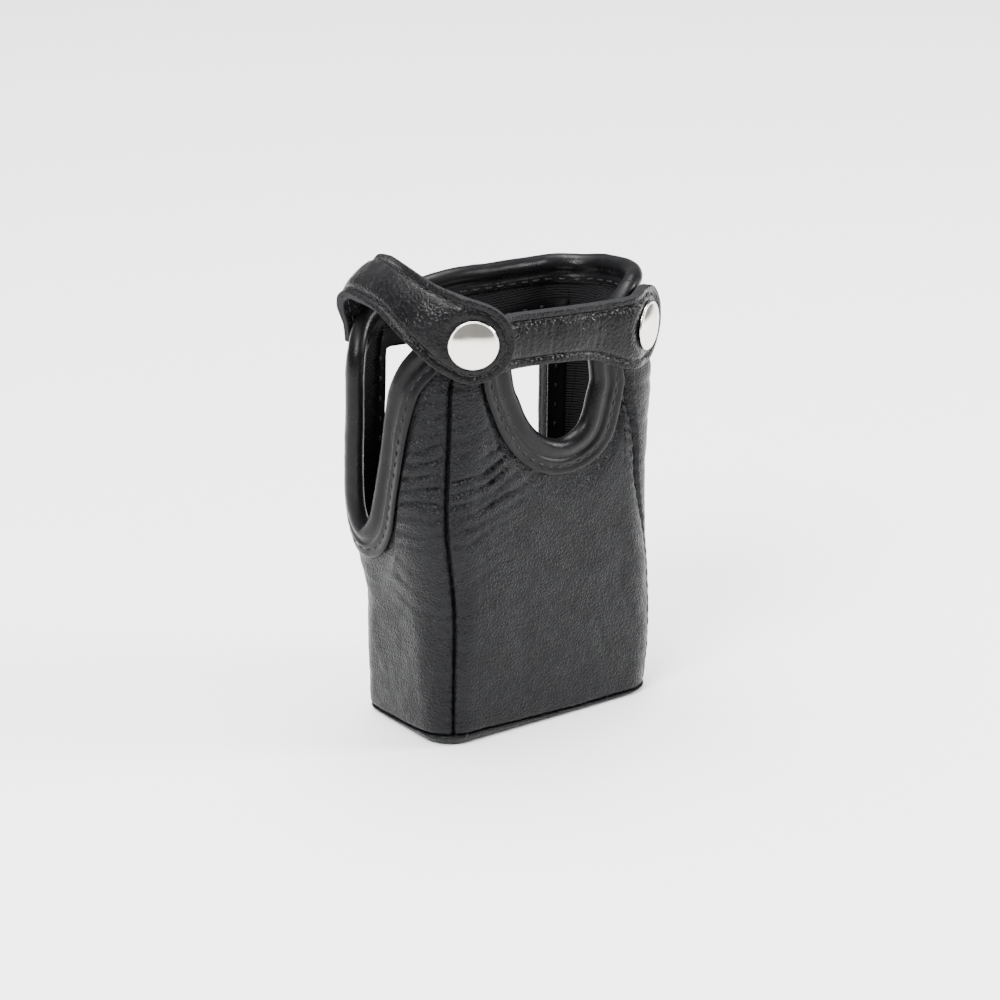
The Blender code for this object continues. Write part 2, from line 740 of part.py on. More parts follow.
def make_front_strap(leather, pad):
    """The front strap: an end fixed under the left snap and a stretch that opens."""
    fixed = LEFT_SNAP["centre"] + LEFT_SNAP["axis"] * (SNAP_SEAT + STRAP_DEPTH / 2)
    up = Vector((0, 0, 1))
    level = LEFT_SNAP["level"]
    middle = fixed + Vector((0, 0, -2.6))
    path = [(middle - level * 5.5, up, 6.9), (middle, up, 7.0),
            (middle + level * 6.0, up, 7.0),
            (Vector((FRONT_BEND_X, -21.9, 106.8)), up, 6.9),
            (Vector((0.0, -23.2, 106.2)), up, 6.9),
            (Vector((10.5, -23.2, 105.0)), up, 7.4)]
    path += tab_stations(RIGHT_SNAP, STRAP_MIDDLE, 0.0, 0.3)
    frames = strap_frames(path, True)
    bend = min(range(len(frames)), key=lambda i: abs(frames[i][0].x - FRONT_BEND_X))
    centre, width, outward, half = frames[bend]
    along = width.cross(outward)
    hinge = centre + outward * (STRAP_DEPTH / 2)
    edge = 0.4
    fixed_frames = frames[:bend] + [(centre - along * edge, width, outward, half)]
    free_frames = [(centre + along * edge, width, outward, half)] + frames[bend + 1:]
    fixed_parts = make_strap("front_strap_anchor", fixed_frames, leather, pad, Vector((0, 0, 0)))
    free_parts = make_strap("front_strap", free_frames, leather, pad, hinge)
    return hinge, fixed_parts, free_parts


# ------------------------------------------------------------------------------ assembly
def main():
    for old in list(bpy.data.objects):
        bpy.data.objects.remove(old)
    leather = material("black grained leather", (0.028, 0.028, 0.031), 0.42)
    smooth = material("smooth black leather", (0.022, 0.022, 0.025), 0.32)
    cloth = material("black woven lining", (0.016, 0.016, 0.019), 0.85)
    foam = material("grey foam padding", (0.16, 0.16, 0.17), 0.95)
    board = material("grey fibre board", (0.12, 0.11, 0.10), 0.9)
    nickel = material("polished nickel", (0.78, 0.75, 0.70), 0.14, 1.0)

    layers = make_walls(leather, foam, cloth)
    facing = make_facing(smooth)
    window = window_cutter("window_cutter", 0.0)
    for made in (layers["back_panel"], layers["back_foam"], layers["back_lining"], facing):
        cut(made, window)
    make_base(leather, board, cloth)
    make_binding(smooth, foam)

    place_snap(LEFT_SNAP)
    place_snap(RIGHT_SNAP)
    left_hinge, left_parts = make_left_strap(leather, foam)
    front_hinge, fixed_parts, free_parts = make_front_strap(leather, foam)
    make_snap("left", LEFT_SNAP, nickel, left_hinge)
    make_snap("right", RIGHT_SNAP, nickel, front_hinge)

    left_hole = snap_cutter("left", LEFT_SNAP)
    right_hole = snap_cutter("right", RIGHT_SNAP)
    right_layers = [layers[f"right_{kind}"] for kind in ("panel", "foam", "lining")]
    for made in left_parts + fixed_parts:
        cut(made, left_hole)
    for made in free_parts + right_layers:
        cut(made, right_hole)


main()
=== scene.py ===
"""Looks of a padded leather carrying case for a pocket radio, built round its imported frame.

The walls, binding and straps are made again from the case's own driving dimensions, in
millimetres, on fine meshes with their seams, padding, creases and stitches.
"""
import math

import bpy
import numpy as np
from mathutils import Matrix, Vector, noise


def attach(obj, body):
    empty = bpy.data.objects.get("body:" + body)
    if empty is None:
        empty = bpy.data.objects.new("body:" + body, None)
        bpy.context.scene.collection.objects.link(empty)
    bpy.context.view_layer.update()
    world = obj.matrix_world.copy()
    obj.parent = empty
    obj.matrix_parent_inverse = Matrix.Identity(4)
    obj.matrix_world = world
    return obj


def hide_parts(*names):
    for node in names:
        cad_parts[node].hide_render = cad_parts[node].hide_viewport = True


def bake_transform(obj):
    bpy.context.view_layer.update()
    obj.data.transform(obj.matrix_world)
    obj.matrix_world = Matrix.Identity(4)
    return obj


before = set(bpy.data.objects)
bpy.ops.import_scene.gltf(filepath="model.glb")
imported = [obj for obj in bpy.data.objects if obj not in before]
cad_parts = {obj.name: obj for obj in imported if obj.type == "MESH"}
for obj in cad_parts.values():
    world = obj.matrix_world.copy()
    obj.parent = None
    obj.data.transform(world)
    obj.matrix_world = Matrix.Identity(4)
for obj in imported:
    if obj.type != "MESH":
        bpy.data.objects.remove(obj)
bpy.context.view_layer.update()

MM = 0.001

# ---- the case's own dimensions (mm)
# Each table lists (height, value): the wall's shape changes smoothly between the heights.
LEFT_WALL = [(0, 34.5), (32, 35.0), (64, 37.5), (92, 37.0), (110, 34.5)]
RIGHT_WALL = [(0, 34.5), (17, 35.5), (60, 33.5), (88, 36.5), (103, 33.5), (114, 35.5)]
FRONT_WALL = [(0, 19.0), (30, 19.5), (114, 18.5)]
BACK_WALL = [(0, 19.0), (114, 18.0)]
CORNER_RADIUS = [
    [(0, 9), (50, 12), (108, 18)],             # front left
    [(0, 9), (60, 10), (88, 13), (103, 19), (114, 17)],   # front right
    [(0, 8), (50, 10), (114, 14)],             # rear right
    [(0, 8), (50, 10), (114, 11)],             # rear left
]
SEAM_ANGLE = [
    [(0, 30), (114, 34)],
    [(0, 45), (38, 48), (66, 16), (90, -6), (103, 12), (114, 30)],
    [(0, 45), (114, 45)],
    [(0, 45), (44, 6)],
]
FLARE = 4.0
FLARE_PLACE = 3.12
FLARE_WIDTH = 0.36
FLARE_HEIGHTS = (30, 58)

GAP = 0.3
LEATHER = 1.0
FOAM_TOP = 1.05          # from the outer leather's face in to the foam
LINING_TOP = 2.4         # from the wall's face in to the lining
LINING_BACK = 2.8
BASE_RISE = 3.2
SEAM_ROLL = 1.45         # radius of the leather where it turns in at a seam
BASE_ROLL = 1.5          # the same at the base
PUFF = 0.8               # how far the padding stands out between the seams

ROLL_RADIUS = 2.4
ROLL_MIDDLE = -1.35      # the roll's centre, from the wall's outer face
ROLL_SKIN = 0.6
OUTER_FLANGE = 6.6
INNER_FLANGE = 4.6
WALL_TOP = 1.9

WINDOW = (-26.0, 23.0, 40.0, 96.5)
WINDOW_CORNER = 2.0
FACING = (-28.8, 29.6, 34.0, 101.2)
FACING_TOP = 3.1
FACING_THICKNESS = 0.5

STRAP_DEPTH = 2.5
STRAP_FROM = 2.4         # from a stud's seat out to the strap's inner face
STRAP_MIDDLE = STRAP_FROM + STRAP_DEPTH / 2
STRAP_STITCHES = 2.1     # in from the strap's edge
CAP_RADIUS = 6.25
SNAP_SEAT = 1.5
TAB_RADIUS = 10.2
TAB_NECK = 6.4
TAB_NECK_HALF_WIDTH = 9.5
LEFT_SNAP = {"turn": -30.0, "place": (0, -23.9), "height": 109.4,
             "seat": SNAP_SEAT + STRAP_DEPTH + GAP}
RIGHT_SNAP = {"turn": 31.0, "place": (1, -16.2), "height": 103.0, "seat": SNAP_SEAT}
LEFT_DIP = 28.0
CREASE = Vector((-33.7, 12.2, 118.0))
CREASE_WIDTH = Vector((0.85, 0.30, 0.43)).normalized()
FRONT_BEND = Vector((-13.6, -21.9, 106.8))

# The rim, along its filler cord: (wall, x or y there, height). None stands for a wall's first seam.
RIM_PLACES = [
    (0, None, 113.2), (0, -20.0, 110.2), (0, -15.2, 101.0), (0, -13.0, 91.0),
    (0, -8.6, 81.8), (0, -2.6, 76.0), (0, 4.6, 74.2), (0, 11.2, 77.4), (0, 14.4, 86.0),
    (0, 14.8, 96.0), (0, 17.0, 105.4), (1, None, 111.2), (1, -8.0, 112.4), (1, 5.0, 111.2),
    (2, None, 110.0), (2, 8.0, 110.9), (2, -8.0, 111.2), (3, None, 107.4),
    (3, 16.6, 99.8), (3, 14.8, 88.0), (3, 14.6, 72.0), (3, 13.8, 59.0), (3, 9.4, 52.0),
    (3, 3.6, 57.5), (3, 0.2, 71.0), (3, -2.0, 86.0), (3, -5.6, 98.4), (3, -12.0, 107.8),
]
PANEL_NAMES = ("front", "right", "back", "left")
PANEL_COLUMNS = (110, 62, 96, 120)
PANEL_ROWS = 150
RIM_STEPS = (170, 60, 90, 210)
NEAR_EDGE = (0.0, 0.05, 0.15, 0.3, 0.5, 0.75, 1.05, 1.4, 1.9)   # close columns at a seam
PANEL_WIDTH = 60.0       # a typical wall, for spacing those columns and rows
PANEL_HEIGHT = 95.0
OUTLINE_POINTS = 240


# ---- wall surface
def at_height(table, height):
    """The smoothly changing value of a (height, value) table."""
    low = np.array([entry[0] for entry in table], float)
    value = np.array([entry[1] for entry in table], float)
    i = np.clip(np.searchsorted(low, height, side="right") - 1, 0, len(low) - 2)
    t = np.clip((height - low[i]) / (low[i + 1] - low[i]), 0.0, 1.0)
    return value[i] + (value[i + 1] - value[i]) * t * t * (3 - 2 * t)


def section(height):
    """The outline at each height: corner centres and radii, and where each part starts."""
    left, right = at_height(LEFT_WALL, height), at_height(RIGHT_WALL, height)
    front, back = at_height(FRONT_WALL, height), at_height(BACK_WALL, height)
    radius = np.array([at_height(table, height) for table in CORNER_RADIUS])
    angle = np.radians([at_height(table, height) for table in SEAM_ANGLE])
    centre = np.array([(radius[0] - left, radius[0] - front),
                       (right - radius[1], radius[1] - front),
                       (right - radius[2], back - radius[2]),
                       (radius[3] - left, back - radius[3])])
    start = np.zeros_like(left)
    starts, sizes, seams = [], [], [-angle[0] * radius[0]]
    for side in range(4):
        after = (side + 1) % 4
        straight = np.hypot(*(centre[after] - centre[side]))
        arc = radius[after] * math.pi / 2
        turn = angle[after] if side % 2 == 0 else math.pi / 2 - angle[after]
        starts += [start, start + straight]
        sizes += [straight, arc]
        if after:
            seams.append(start + straight + turn * radius[after])
        start = start + straight + arc
    seams.append(seams[0] + start)
    return centre, radius, np.array(starts), np.array(sizes), np.array(seams), start


def panel_length(panel, height):
    seams = section(np.asarray(height, float))[4]
    return seams[panel + 1] - seams[panel]


def wall(place, height, offset=0.0):
    """Points on the outer leather, moved outwards by offset, and their outward directions."""
    place, height, offset = np.broadcast_arrays(np.asarray(place, float),
                                                np.asarray(height, float),
                                                np.asarray(offset, float))
    shape = place.shape
    place, height, offset = (np.ravel(values) for values in (place % 4, height, offset))
    centre, radius, starts, sizes, seams, around = section(height)
    each = np.arange(len(place))
    panel = np.minimum(place.astype(int), 3)
    first = seams[panel, each]
    distance = (first + (place - panel) * (seams[panel + 1, each] - first)) % around
    part = np.clip((distance >= starts - 1e-9).sum(axis=0) - 1, 0, 7)
    side, after = part // 2, (part // 2 + 1) % 4
    arc = part % 2 == 1
    along = distance - starts[part, each]
    t = np.where(arc, 0.0, along / sizes[part, each])
    corner = radius[after, each]
    heading = np.radians(-90.0 + 90.0 * side) + np.where(arc, along / corner, 0.0)
    reach = np.where(arc, corner, radius[side, each] + (corner - radius[side, each]) * t)
    here, there = centre[side, :, each], centre[after, :, each]
    middle = np.where(arc[:, None], there, here + (there - here) * t[:, None])
    outward = np.stack([np.cos(heading), np.sin(heading)], axis=1)
    low, high = FLARE_HEIGHTS
    rise = np.clip((height - low) / (high - low), 0.0, 1.0)
    lean = FLARE * np.exp(-((place - FLARE_PLACE) / FLARE_WIDTH) ** 2)
    reach = reach + offset + lean * rise * rise * (3 - 2 * rise)
    flat = middle + outward * reach[:, None]
    points = np.column_stack([flat, height])
    normals = np.column_stack([outward, np.zeros(len(place))])
    return points.reshape(*shape, 3), normals.reshape(*shape, 3)


def place_of(panel, coordinate, height):
    """The place on a panel whose x (front, back) or y (sides) is the coordinate."""
    axis = panel % 2
    coordinate, height = np.broadcast_arrays(np.asarray(coordinate, float),
                                             np.asarray(height, float))
    low = np.full(coordinate.shape, float(panel))
    high = np.full(coordinate.shape, panel + 1 - 1e-9)
    rising = wall(high, height)[0][..., axis] > wall(low, height)[0][..., axis]
    for _ in range(40):
        middle = (low + high) / 2
        short = (wall(middle, height)[0][..., axis] < coordinate) == rising
        low = np.where(short, middle, low)
        high = np.where(short, high, middle)
    return low


RIM = np.array([(float(panel) if across is None else float(place_of(panel, across, height)),
                 height) for panel, across, height in RIM_PLACES])
SEAM_INDEX = [i for i, entry in enumerate(RIM_PLACES) if entry[1] is None] + [len(RIM)]


def unit(vectors):
    return vectors / np.linalg.norm(vectors, axis=-1, keepdims=True)


def spline(a, b, c, d, f):
    """The smooth curve from b to c, through a and d beyond them, at the fraction f."""
    return 0.5 * (2 * b + (c - a) * f + (2 * a - 5 * b + 4 * c - d) * f * f
                  + (3 * b - a - 3 * c + d) * f ** 3)


def rim(t):
    """Place and height of the filler cord's centre; t counts the rim's places."""
    index = np.floor(t).astype(int)
    f = (t - index)[..., None]
    near = [RIM[(index + step) % len(RIM)]
            + np.stack([4.0 * ((index + step) // len(RIM)), 0 * t], axis=-1)
            for step in (-1, 0, 1, 2)]
    where = spline(*near, f)
    return where[..., 0], where[..., 1]


def rim_columns(panel, fractions):
    """Rim parameters at the given fractions of the way along one panel."""
    fine = np.linspace(SEAM_INDEX[panel], SEAM_INDEX[panel + 1], 1200)
    points, normals = wall(*rim(fine))
    steps = np.diff(points, axis=0)
    travel = np.linalg.norm(steps, axis=1) + 10.0 * np.linalg.norm(np.diff(normals, axis=0), axis=1)
    travelled = np.concatenate([[0.0], np.cumsum(travel)])
    return np.interp(np.asarray(fractions) * travelled[-1], travelled, fine)


def from_rim(t, away):
    """Place and height at a distance across the rim's edge from the cord's centre."""
    place, height = rim(t)
    step = 1e-3
    along = wall(*rim(t + step))[0] - wall(*rim(t - step))[0]
    across = unit(np.cross(wall(place, height)[1], along))
    level = unit(wall(place + 1e-4, height)[0] - wall(place - 1e-4, height)[0])
    panel = np.minimum((place % 4).astype(int), 3)
    seams = section(height)[4]
    each = np.arange(len(t))
    length = seams[panel + 1, each] - seams[panel, each]
    return place + away * (across * level).sum(axis=1) / length, height + away * across[:, 2]


# ---- relief
def cloud(points, size, seed):
    """Smooth noise between about -1 and 1 whose patches are about the given size across."""
    flat = points.reshape(-1, 3) / size + seed
    return np.array([noise.noise(point) for point in flat.tolist()]).reshape(points.shape[:-1])


def smooth(values, low, high):
    t = np.clip((values - low) / (high - low), 0.0, 1.0)
    return t * t * (3 - 2 * t)


def turned_edge(distance, radius=SEAM_ROLL):
    """Depth of leather that turns in round a quarter circle at an edge."""
    t = 1.0 - np.clip(distance / radius, 0.0, 1.0)
    return radius * (1.0 - np.sqrt(np.maximum(1.0 - t * t, 0.0)))


def folds(points, along, across, spacing, seed):
    """Long uneven creases, spaced across a direction; 0 between them and 1 in their beds."""
    drift = 1.6 * cloud(points, 11.0, seed) + 0.5 * cloud(points, 4.0, seed + 5)
    phase = (across + drift) / spacing
    bed = np.maximum(np.cos(2 * math.pi * phase), 0.0) ** 2.5
    lane = np.stack([along / 14.0, np.round(phase) * 3.7, 0 * along], axis=-1)
    return bed * np.clip(0.55 + 0.9 * cloud(lane, 1.0, seed + 9), 0.0, 1.0)


def base_seam(place):
    """Height of the seam between walls and base: it dips away from the front left corner."""
    away = np.minimum(place % 4, 4 - place % 4)
    return 1.5 + (BASE_RISE - 1.6) * np.exp(-(away / 0.45) ** 2)


def relief(panel, points, first, last, base, binding):
    """Height of the outer leather over the plain wall, from its distances to its edges."""
    x, y, z = points[..., 0], points[..., 1], points[..., 2]
    held = smooth(binding, -0.5, 9.0)
    swell = (1 - np.exp(-first / 4.5)) * (1 - np.exp(-last / 4.5)) * (1 - np.exp(-(base + 1.0) / 4.0))
    height = PUFF * swell * held - 0.15 * (1 - held)
    seam = np.minimum(first, last)
    pucker = 0.5 + 0.5 * np.cos(2 * math.pi * z / 3.3 + 1.5 * cloud(points, 9.0, 3.0))
    height -= (0.42 * pucker + 0.1) * np.exp(-seam / 1.7) * smooth(z, 2, 8)
    height -= turned_edge(first) + turned_edge(last) + turned_edge(base, BASE_ROLL)
    height += 0.22 * cloud(points, 8.0, 11.0) + 0.10 * cloud(points, 2.8, 17.0)
    if panel == 0:
        reach = np.exp(-(first / 27.0) ** 2)
        strength = reach * np.exp(-((z - 66.0 - 0.22 * first) / 15.0) ** 2)
        bed = folds(points, x, z - 0.20 * first - 0.004 * first ** 2, 3.4, 21.0)
        height -= 1.25 * strength * bed * smooth(first, 0.3, 2.0)
        crinkle = np.exp(-(last / 9.0) ** 2) * smooth(z, 62, 80)
        height -= 0.45 * crinkle * folds(points, z, z + 0.5 * x, 2.6, 31.0)
        low = np.exp(-((z - 30.0) / 22.0) ** 2) * np.exp(-(last / 24.0) ** 2)
        height -= 0.2 * low * folds(points, z, x + 0.35 * z, 5.5, 35.0)
    if panel == 3:
        strength = np.exp(-(last / 13.0) ** 2) * np.exp(-((z - 72.0) / 17.0) ** 2)
        bed = folds(points, y, z + 0.16 * last, 3.7, 41.0)
        height -= 1.15 * strength * bed * smooth(last, 0.3, 2.0)
        height -= 0.2 * np.exp(-((z - 40.0) / 9.0) ** 2) * folds(points, y, z - 0.3 * y, 5.0, 45.0)
    if panel == 1:
        height -= 0.3 * np.exp(-((z - 84.0) / 18.0) ** 2) * folds(points, y, z + 0.2 * y, 5.2, 51.0)
    if panel == 2:
        height -= 0.2 * np.exp(-((z - 30.0) / 12.0) ** 2) * folds(points, x, z + 0.1 * x, 5.5, 61.0)
    return height


# ---- mesh making
def add_piece(name, points, faces, finishes, sharp=50.0, face_finish=None):
    """A mesh object from points in millimetres."""
    mesh = bpy.data.meshes.new(name)
    mesh.from_pydata((np.asarray(points, float).reshape(-1, 3) * MM).tolist(), [], faces)
    for finish in finishes:
        mesh.materials.append(finish)
    if face_finish is not None:
        mesh.polygons.foreach_set("material_index", np.asarray(face_finish, np.int32))
    mesh.validate()
    mesh.shade_smooth()
    mesh.set_sharp_from_angle(angle=math.radians(sharp))
    made = bpy.data.objects.new(name, mesh)
    bpy.context.scene.collection.objects.link(made)
    return made


def sheet_faces(rows, columns):
    """Faces of a closed sheet whose points are an outer grid and then an inner one."""
    a = (np.arange(rows - 1)[:, None] * columns + np.arange(columns - 1)).ravel()
    half = rows * columns
    outer = np.stack([a, a + 1, a + columns + 1, a + columns], axis=1)
    inner = outer[:, ::-1] + half
    border = list(range(columns))
    border += [r * columns + columns - 1 for r in range(1, rows)]
    border += [(rows - 1) * columns + c for c in range(columns - 2, -1, -1)]
    border += [r * columns for r in range(rows - 2, 0, -1)]
    border = np.array(border)
    after = np.roll(border, -1)
    edge = np.stack([after, border, border + half, after + half], axis=1)
    return np.concatenate([outer, inner, edge]).tolist(), len(a)


def sheet(name, outer, inner, finishes, **options):
    """A closed sheet from two equal grids of points."""
    faces, _ = sheet_faces(*outer.shape[:2])
    return add_piece(name, np.concatenate([outer.reshape(-1, 3), inner.reshape(-1, 3)]), faces,
                     finishes, **options)


def loop_tube(name, rings, finishes, **options):
    """A closed tube whose cross-sections follow a closed loop; rings is rings x sides x 3."""
    count, sides = rings.shape[:2]
    i, s = (grid.ravel() for grid in np.meshgrid(np.arange(count), np.arange(sides), indexing="ij"))
    j, t = (i + 1) % count, (s + 1) % sides
    faces = np.stack([i * sides + s, j * sides + s, j * sides + t, i * sides + t], axis=1)
    return add_piece(name, rings, faces.tolist(), finishes, **options)


def settle(made, nodes=(), body="case"):
    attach(made, body)
    if nodes:
        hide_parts(*nodes)
    return made


def cut_window(made):
    """Cut the back window out of one layer of the wall."""
    left, right, bottom, top = WINDOW
    radius = WINDOW_CORNER
    ring = []
    for x, z, start in ((right - radius, top - radius, 0), (left + radius, top - radius, 90),
                        (left + radius, bottom + radius, 180), (right - radius, bottom + radius, 270)):
        for step in range(7):
            angle = math.radians(start + 15 * step)
            ring.append((x + radius * math.cos(angle), z + radius * math.sin(angle)))
    count = len(ring)
    points = [(x, 6.0, z) for x, z in ring] + [(x, 34.0, z) for x, z in ring]
    faces = [tuple(range(count)), tuple(reversed(range(count, 2 * count)))]
    faces += [((i + 1) % count, i, count + i, count + (i + 1) % count) for i in range(count)]
    cutter = add_piece("window_cutter", points, faces, [])
    modifier = made.modifiers.new("window", "BOOLEAN")
    modifier.operation = "DIFFERENCE"
    modifier.solver = "EXACT"
    modifier.object = cutter
    bpy.context.view_layer.update()
    depsgraph = bpy.context.evaluated_depsgraph_get()
    result = bpy.data.meshes.new_from_object(made.evaluated_get(depsgraph))
    made.modifiers.clear()
    made.data = result
    bpy.data.objects.remove(cutter)


# ---- materials
class Finish:
    """A Principled material and the few node chains that the finishes share."""

    def __init__(self, name, colour, roughness, metallic=0.0, specular=0.5):
        self.material = bpy.data.materials.new(name)
        self.material.use_nodes = True
        self.tree = self.material.node_tree
        self.shader = self.tree.nodes["Principled BSDF"]
        self.shader.inputs["Base Color"].default_value = (*colour, 1.0)
        self.shader.inputs["Roughness"].default_value = roughness
        self.shader.inputs["Metallic"].default_value = metallic
        self.shader.inputs["Specular IOR Level"].default_value = specular
        self.place = self.node("ShaderNodeTexCoord").outputs["Object"]
        self.normal = None

    def node(self, kind, values=(), **settings):
        made = self.tree.nodes.new(kind)
        for key, value in settings.items():
            setattr(made, key, value)
        for key, value in dict(values).items():
            if isinstance(value, bpy.types.NodeSocket):
                self.tree.links.new(value, made.inputs[key])
            else:
                made.inputs[key].default_value = value
        return made

    def noise(self, size, detail=3.0, roughness=0.5, distortion=0.0):
        """Noise with patches of about the given size in millimetres."""
        return self.node("ShaderNodeTexNoise", {
            "Vector": self.place, "Scale": 1.0 / (size * MM), "Detail": detail,
            "Roughness": roughness, "Distortion": distortion}).outputs["Fac"]

    def cells(self, size, warp):
        """Distance to the edges of cells of about the given size, bent by a little noise."""
        bend = self.node("ShaderNodeTexNoise", {"Vector": self.place, "Scale": 0.7 / (size * MM),
                                                "Detail": 2.0}).outputs["Color"]
        shift = self.node("ShaderNodeVectorMath", {0: bend, 1: (0.5, 0.5, 0.5)},
                          operation="SUBTRACT").outputs[0]
        shift = self.node("ShaderNodeVectorMath", {0: shift, "Scale": warp * size * MM},
                          operation="SCALE").outputs[0]
        place = self.node("ShaderNodeVectorMath", {0: self.place, 1: shift},
                          operation="ADD").outputs[0]
        made = self.node("ShaderNodeTexVoronoi", {"Vector": place, "Scale": 1.0 / (size * MM)},
                         feature="DISTANCE_TO_EDGE")
        return made.outputs["Distance"]

    def remap(self, value, low, high, to_low, to_high, kind="LINEAR"):
        return self.node("ShaderNodeMapRange", {"Value": value, "From Min": low, "From Max": high,
                                                "To Min": to_low, "To Max": to_high},
                         interpolation_type=kind).outputs["Result"]

    def blend(self, factor, first, second):
        made = self.node("ShaderNodeMix", data_type="RGBA")
        self.tree.links.new(factor, made.inputs[0])
        made.inputs[6].default_value = (*first, 1.0)
        made.inputs[7].default_value = (*second, 1.0)
        return made.outputs[2]

    def feed(self, socket, value):
        self.tree.links.new(value, self.shader.inputs[socket])

    def bump(self, height, depth):
        """Adds relief of the given depth in millimetres for a height from 0 to 1."""
        values = {"Height": height, "Distance": depth * MM, "Strength": 1.0}
        if self.normal:
            values["Normal"] = self.normal
        self.normal = self.node("ShaderNodeBump", values).outputs["Normal"]
        self.feed("Normal", self.normal)


LEATHER_SHINE = 0.13     # black leather's faint specular


def leather_finish(name, dark, light, roughness, grain, depth):
    """Grained leather: rounded grains, fine wrinkles between them and worn, shinier tops."""
    finish = Finish(name, dark, roughness, specular=LEATHER_SHINE)
    patches = finish.noise(9.0, 4.0)
    finish.feed("Base Color", finish.blend(finish.remap(patches, 0.35, 0.7, 0.0, 1.0), dark, light))
    grains = finish.cells(grain, warp=0.9)
    shoulders = finish.remap(grains, 0.0, 0.34, 0.0, 1.0, "SMOOTHSTEP")
    finish.bump(shoulders, depth)
    finish.bump(finish.noise(grain * 2.6, 2.0, 0.5, 0.6), depth * 1.3)
    worn = finish.noise(5.0, 3.0)
    finish.feed("Roughness", finish.remap(worn, 0.3, 0.7, roughness - 0.07, roughness + 0.09))
    return finish.material


def cloth_finish():
    """Ribbed black weave: close ribs along the height, crossed by finer threads, with painted shade in
    the rib grooves.
    """
    finish = Finish("black ribbed lining", (0.004, 0.004, 0.0045), 0.85, specular=0.15)
    ribs = finish.node("ShaderNodeTexWave", {"Vector": finish.place, "Scale": 0.45 / MM,
                                             "Distortion": 0.6, "Detail": 1.0},
                       bands_direction="Z").outputs["Fac"]
    threads = finish.node("ShaderNodeTexWave", {"Vector": finish.place, "Scale": 0.5 / MM,
                                                "Distortion": 0.8, "Detail": 1.0},
                          bands_direction="DIAGONAL").outputs["Fac"]
    finish.bump(ribs, 0.16)
    finish.bump(threads, 0.08)
    # Base colour follows the ribs' height: lighter on the crests and darker in the grooves, a painted
    # shade in the rib grooves.
    finish.feed("Base Color", finish.blend(ribs, (0.003, 0.003, 0.0034), (0.007, 0.007, 0.008)))
    return finish.material


def fibre_finish(name, dark, light, roughness=0.95, size=0.35, depth=0.15):
    """Matt fibres: foam, cut leather edges and board."""
    finish = Finish(name, dark, roughness, specular=0.2)
    fibres = finish.noise(size, 4.0, 0.7, 0.8)
    finish.feed("Base Color", finish.blend(finish.remap(fibres, 0.3, 0.7, 0.0, 1.0), dark, light))
    finish.bump(fibres, depth)
    return finish.material


def thread_finish():
    """Waxed black thread with its twist."""
    finish = Finish("black waxed thread", (0.004, 0.004, 0.0045), 0.5, specular=0.3)
    twist = finish.node("ShaderNodeTexWave", {"Vector": finish.place, "Scale": 1.3 / MM,
                                              "Distortion": 1.0}, bands_direction="DIAGONAL")
    finish.bump(twist.outputs["Fac"], 0.06)
    finish.feed("Base Color", finish.blend(finish.noise(1.5), (0.003, 0.003, 0.0035),
                                           (0.008, 0.008, 0.009)))
    return finish.material


def nickel_finish():
    """Polished nickel plate with faint handling marks."""
    finish = Finish("polished nickel", (0.80, 0.765, 0.70), 0.13, metallic=1.0)
    marks = finish.noise(2.2, 5.0, 0.65)
    finish.feed("Roughness", finish.remap(marks, 0.35, 0.75, 0.09, 0.22))
    finish.feed("Base Color", finish.blend(finish.noise(4.0), (0.84, 0.81, 0.75), (0.74, 0.70, 0.63)))
    finish.bump(finish.noise(0.5, 3.0), 0.004)
    return finish.material


GRAINED = leather_finish("black grained leather", (0.0033, 0.0034, 0.004),
                         (0.0055, 0.0057, 0.0065), 0.35, 0.95, 0.12)
STRAP_LEATHER = leather_finish("black strap leather", (0.003, 0.003, 0.0034),
                               (0.005, 0.005, 0.0056), 0.31, 1.2, 0.09)
SMOOTH = leather_finish("smooth black leather", (0.003, 0.003, 0.0034), (0.005, 0.005, 0.0056),
                        0.30, 0.6, 0.02)
CUT_EDGE = fibre_finish("cut leather edge", (0.004, 0.004, 0.0045), (0.02, 0.02, 0.022))
CLOTH = cloth_finish()
FOAM = fibre_finish("dark grey foam padding", (0.010, 0.010, 0.011), (0.025, 0.025, 0.027),
                    size=0.6)
BOARD = fibre_finish("grey fibre board", (0.06, 0.055, 0.05), (0.13, 0.12, 0.11), size=0.8)
THREAD = thread_finish()
NICKEL = nickel_finish()


# ---- walls
def panel_grid(panel, columns, rows, inset):
    """A wall's grid from the base seam up under the binding, and distances to its edges."""
    near = np.array(NEAR_EDGE)
    edge = near / PANEL_WIDTH
    across = np.concatenate([edge, np.linspace(edge[-1], 1 - edge[-1], columns)[1:-1],
                             1 - edge[::-1]])
    upward = np.concatenate([near / PANEL_HEIGHT, np.linspace(near[-1] / PANEL_HEIGHT, 1.0, rows)[1:]])
    t = rim_columns(panel, across)
    covered = list(from_rim(t, -OUTER_FLANGE - 0.2))
    top = list(from_rim(t, -WALL_TOP))
    for row in (covered, top):
        row[0] = np.clip(row[0], panel, panel + 1)
        row[0][0], row[0][-1] = panel, panel + 1
    start = panel + across
    rise = upward[:, None]
    place = start + (covered[0] - start) * rise
    bottom = base_seam(start)
    height = bottom + (covered[1] - bottom) * rise
    under = np.array([0.25, 0.5, 0.75, 1.0])[:, None]
    place = np.concatenate([place, covered[0] + (top[0] - covered[0]) * under])
    height = np.concatenate([height, covered[1] + (top[1] - covered[1]) * under])
    length = panel_length(panel, height)
    margin = inset / length
    place = panel + margin + (place - panel) * (1 - 2 * margin)
    first, last = (place - panel) * length, (panel + 1 - place) * length
    binding = np.concatenate([(1 - rise) * (covered[1] - BASE_RISE), -6.0 * under * np.ones_like(t)])
    return place, height, first, last, np.maximum(height - bottom, 0.0), binding


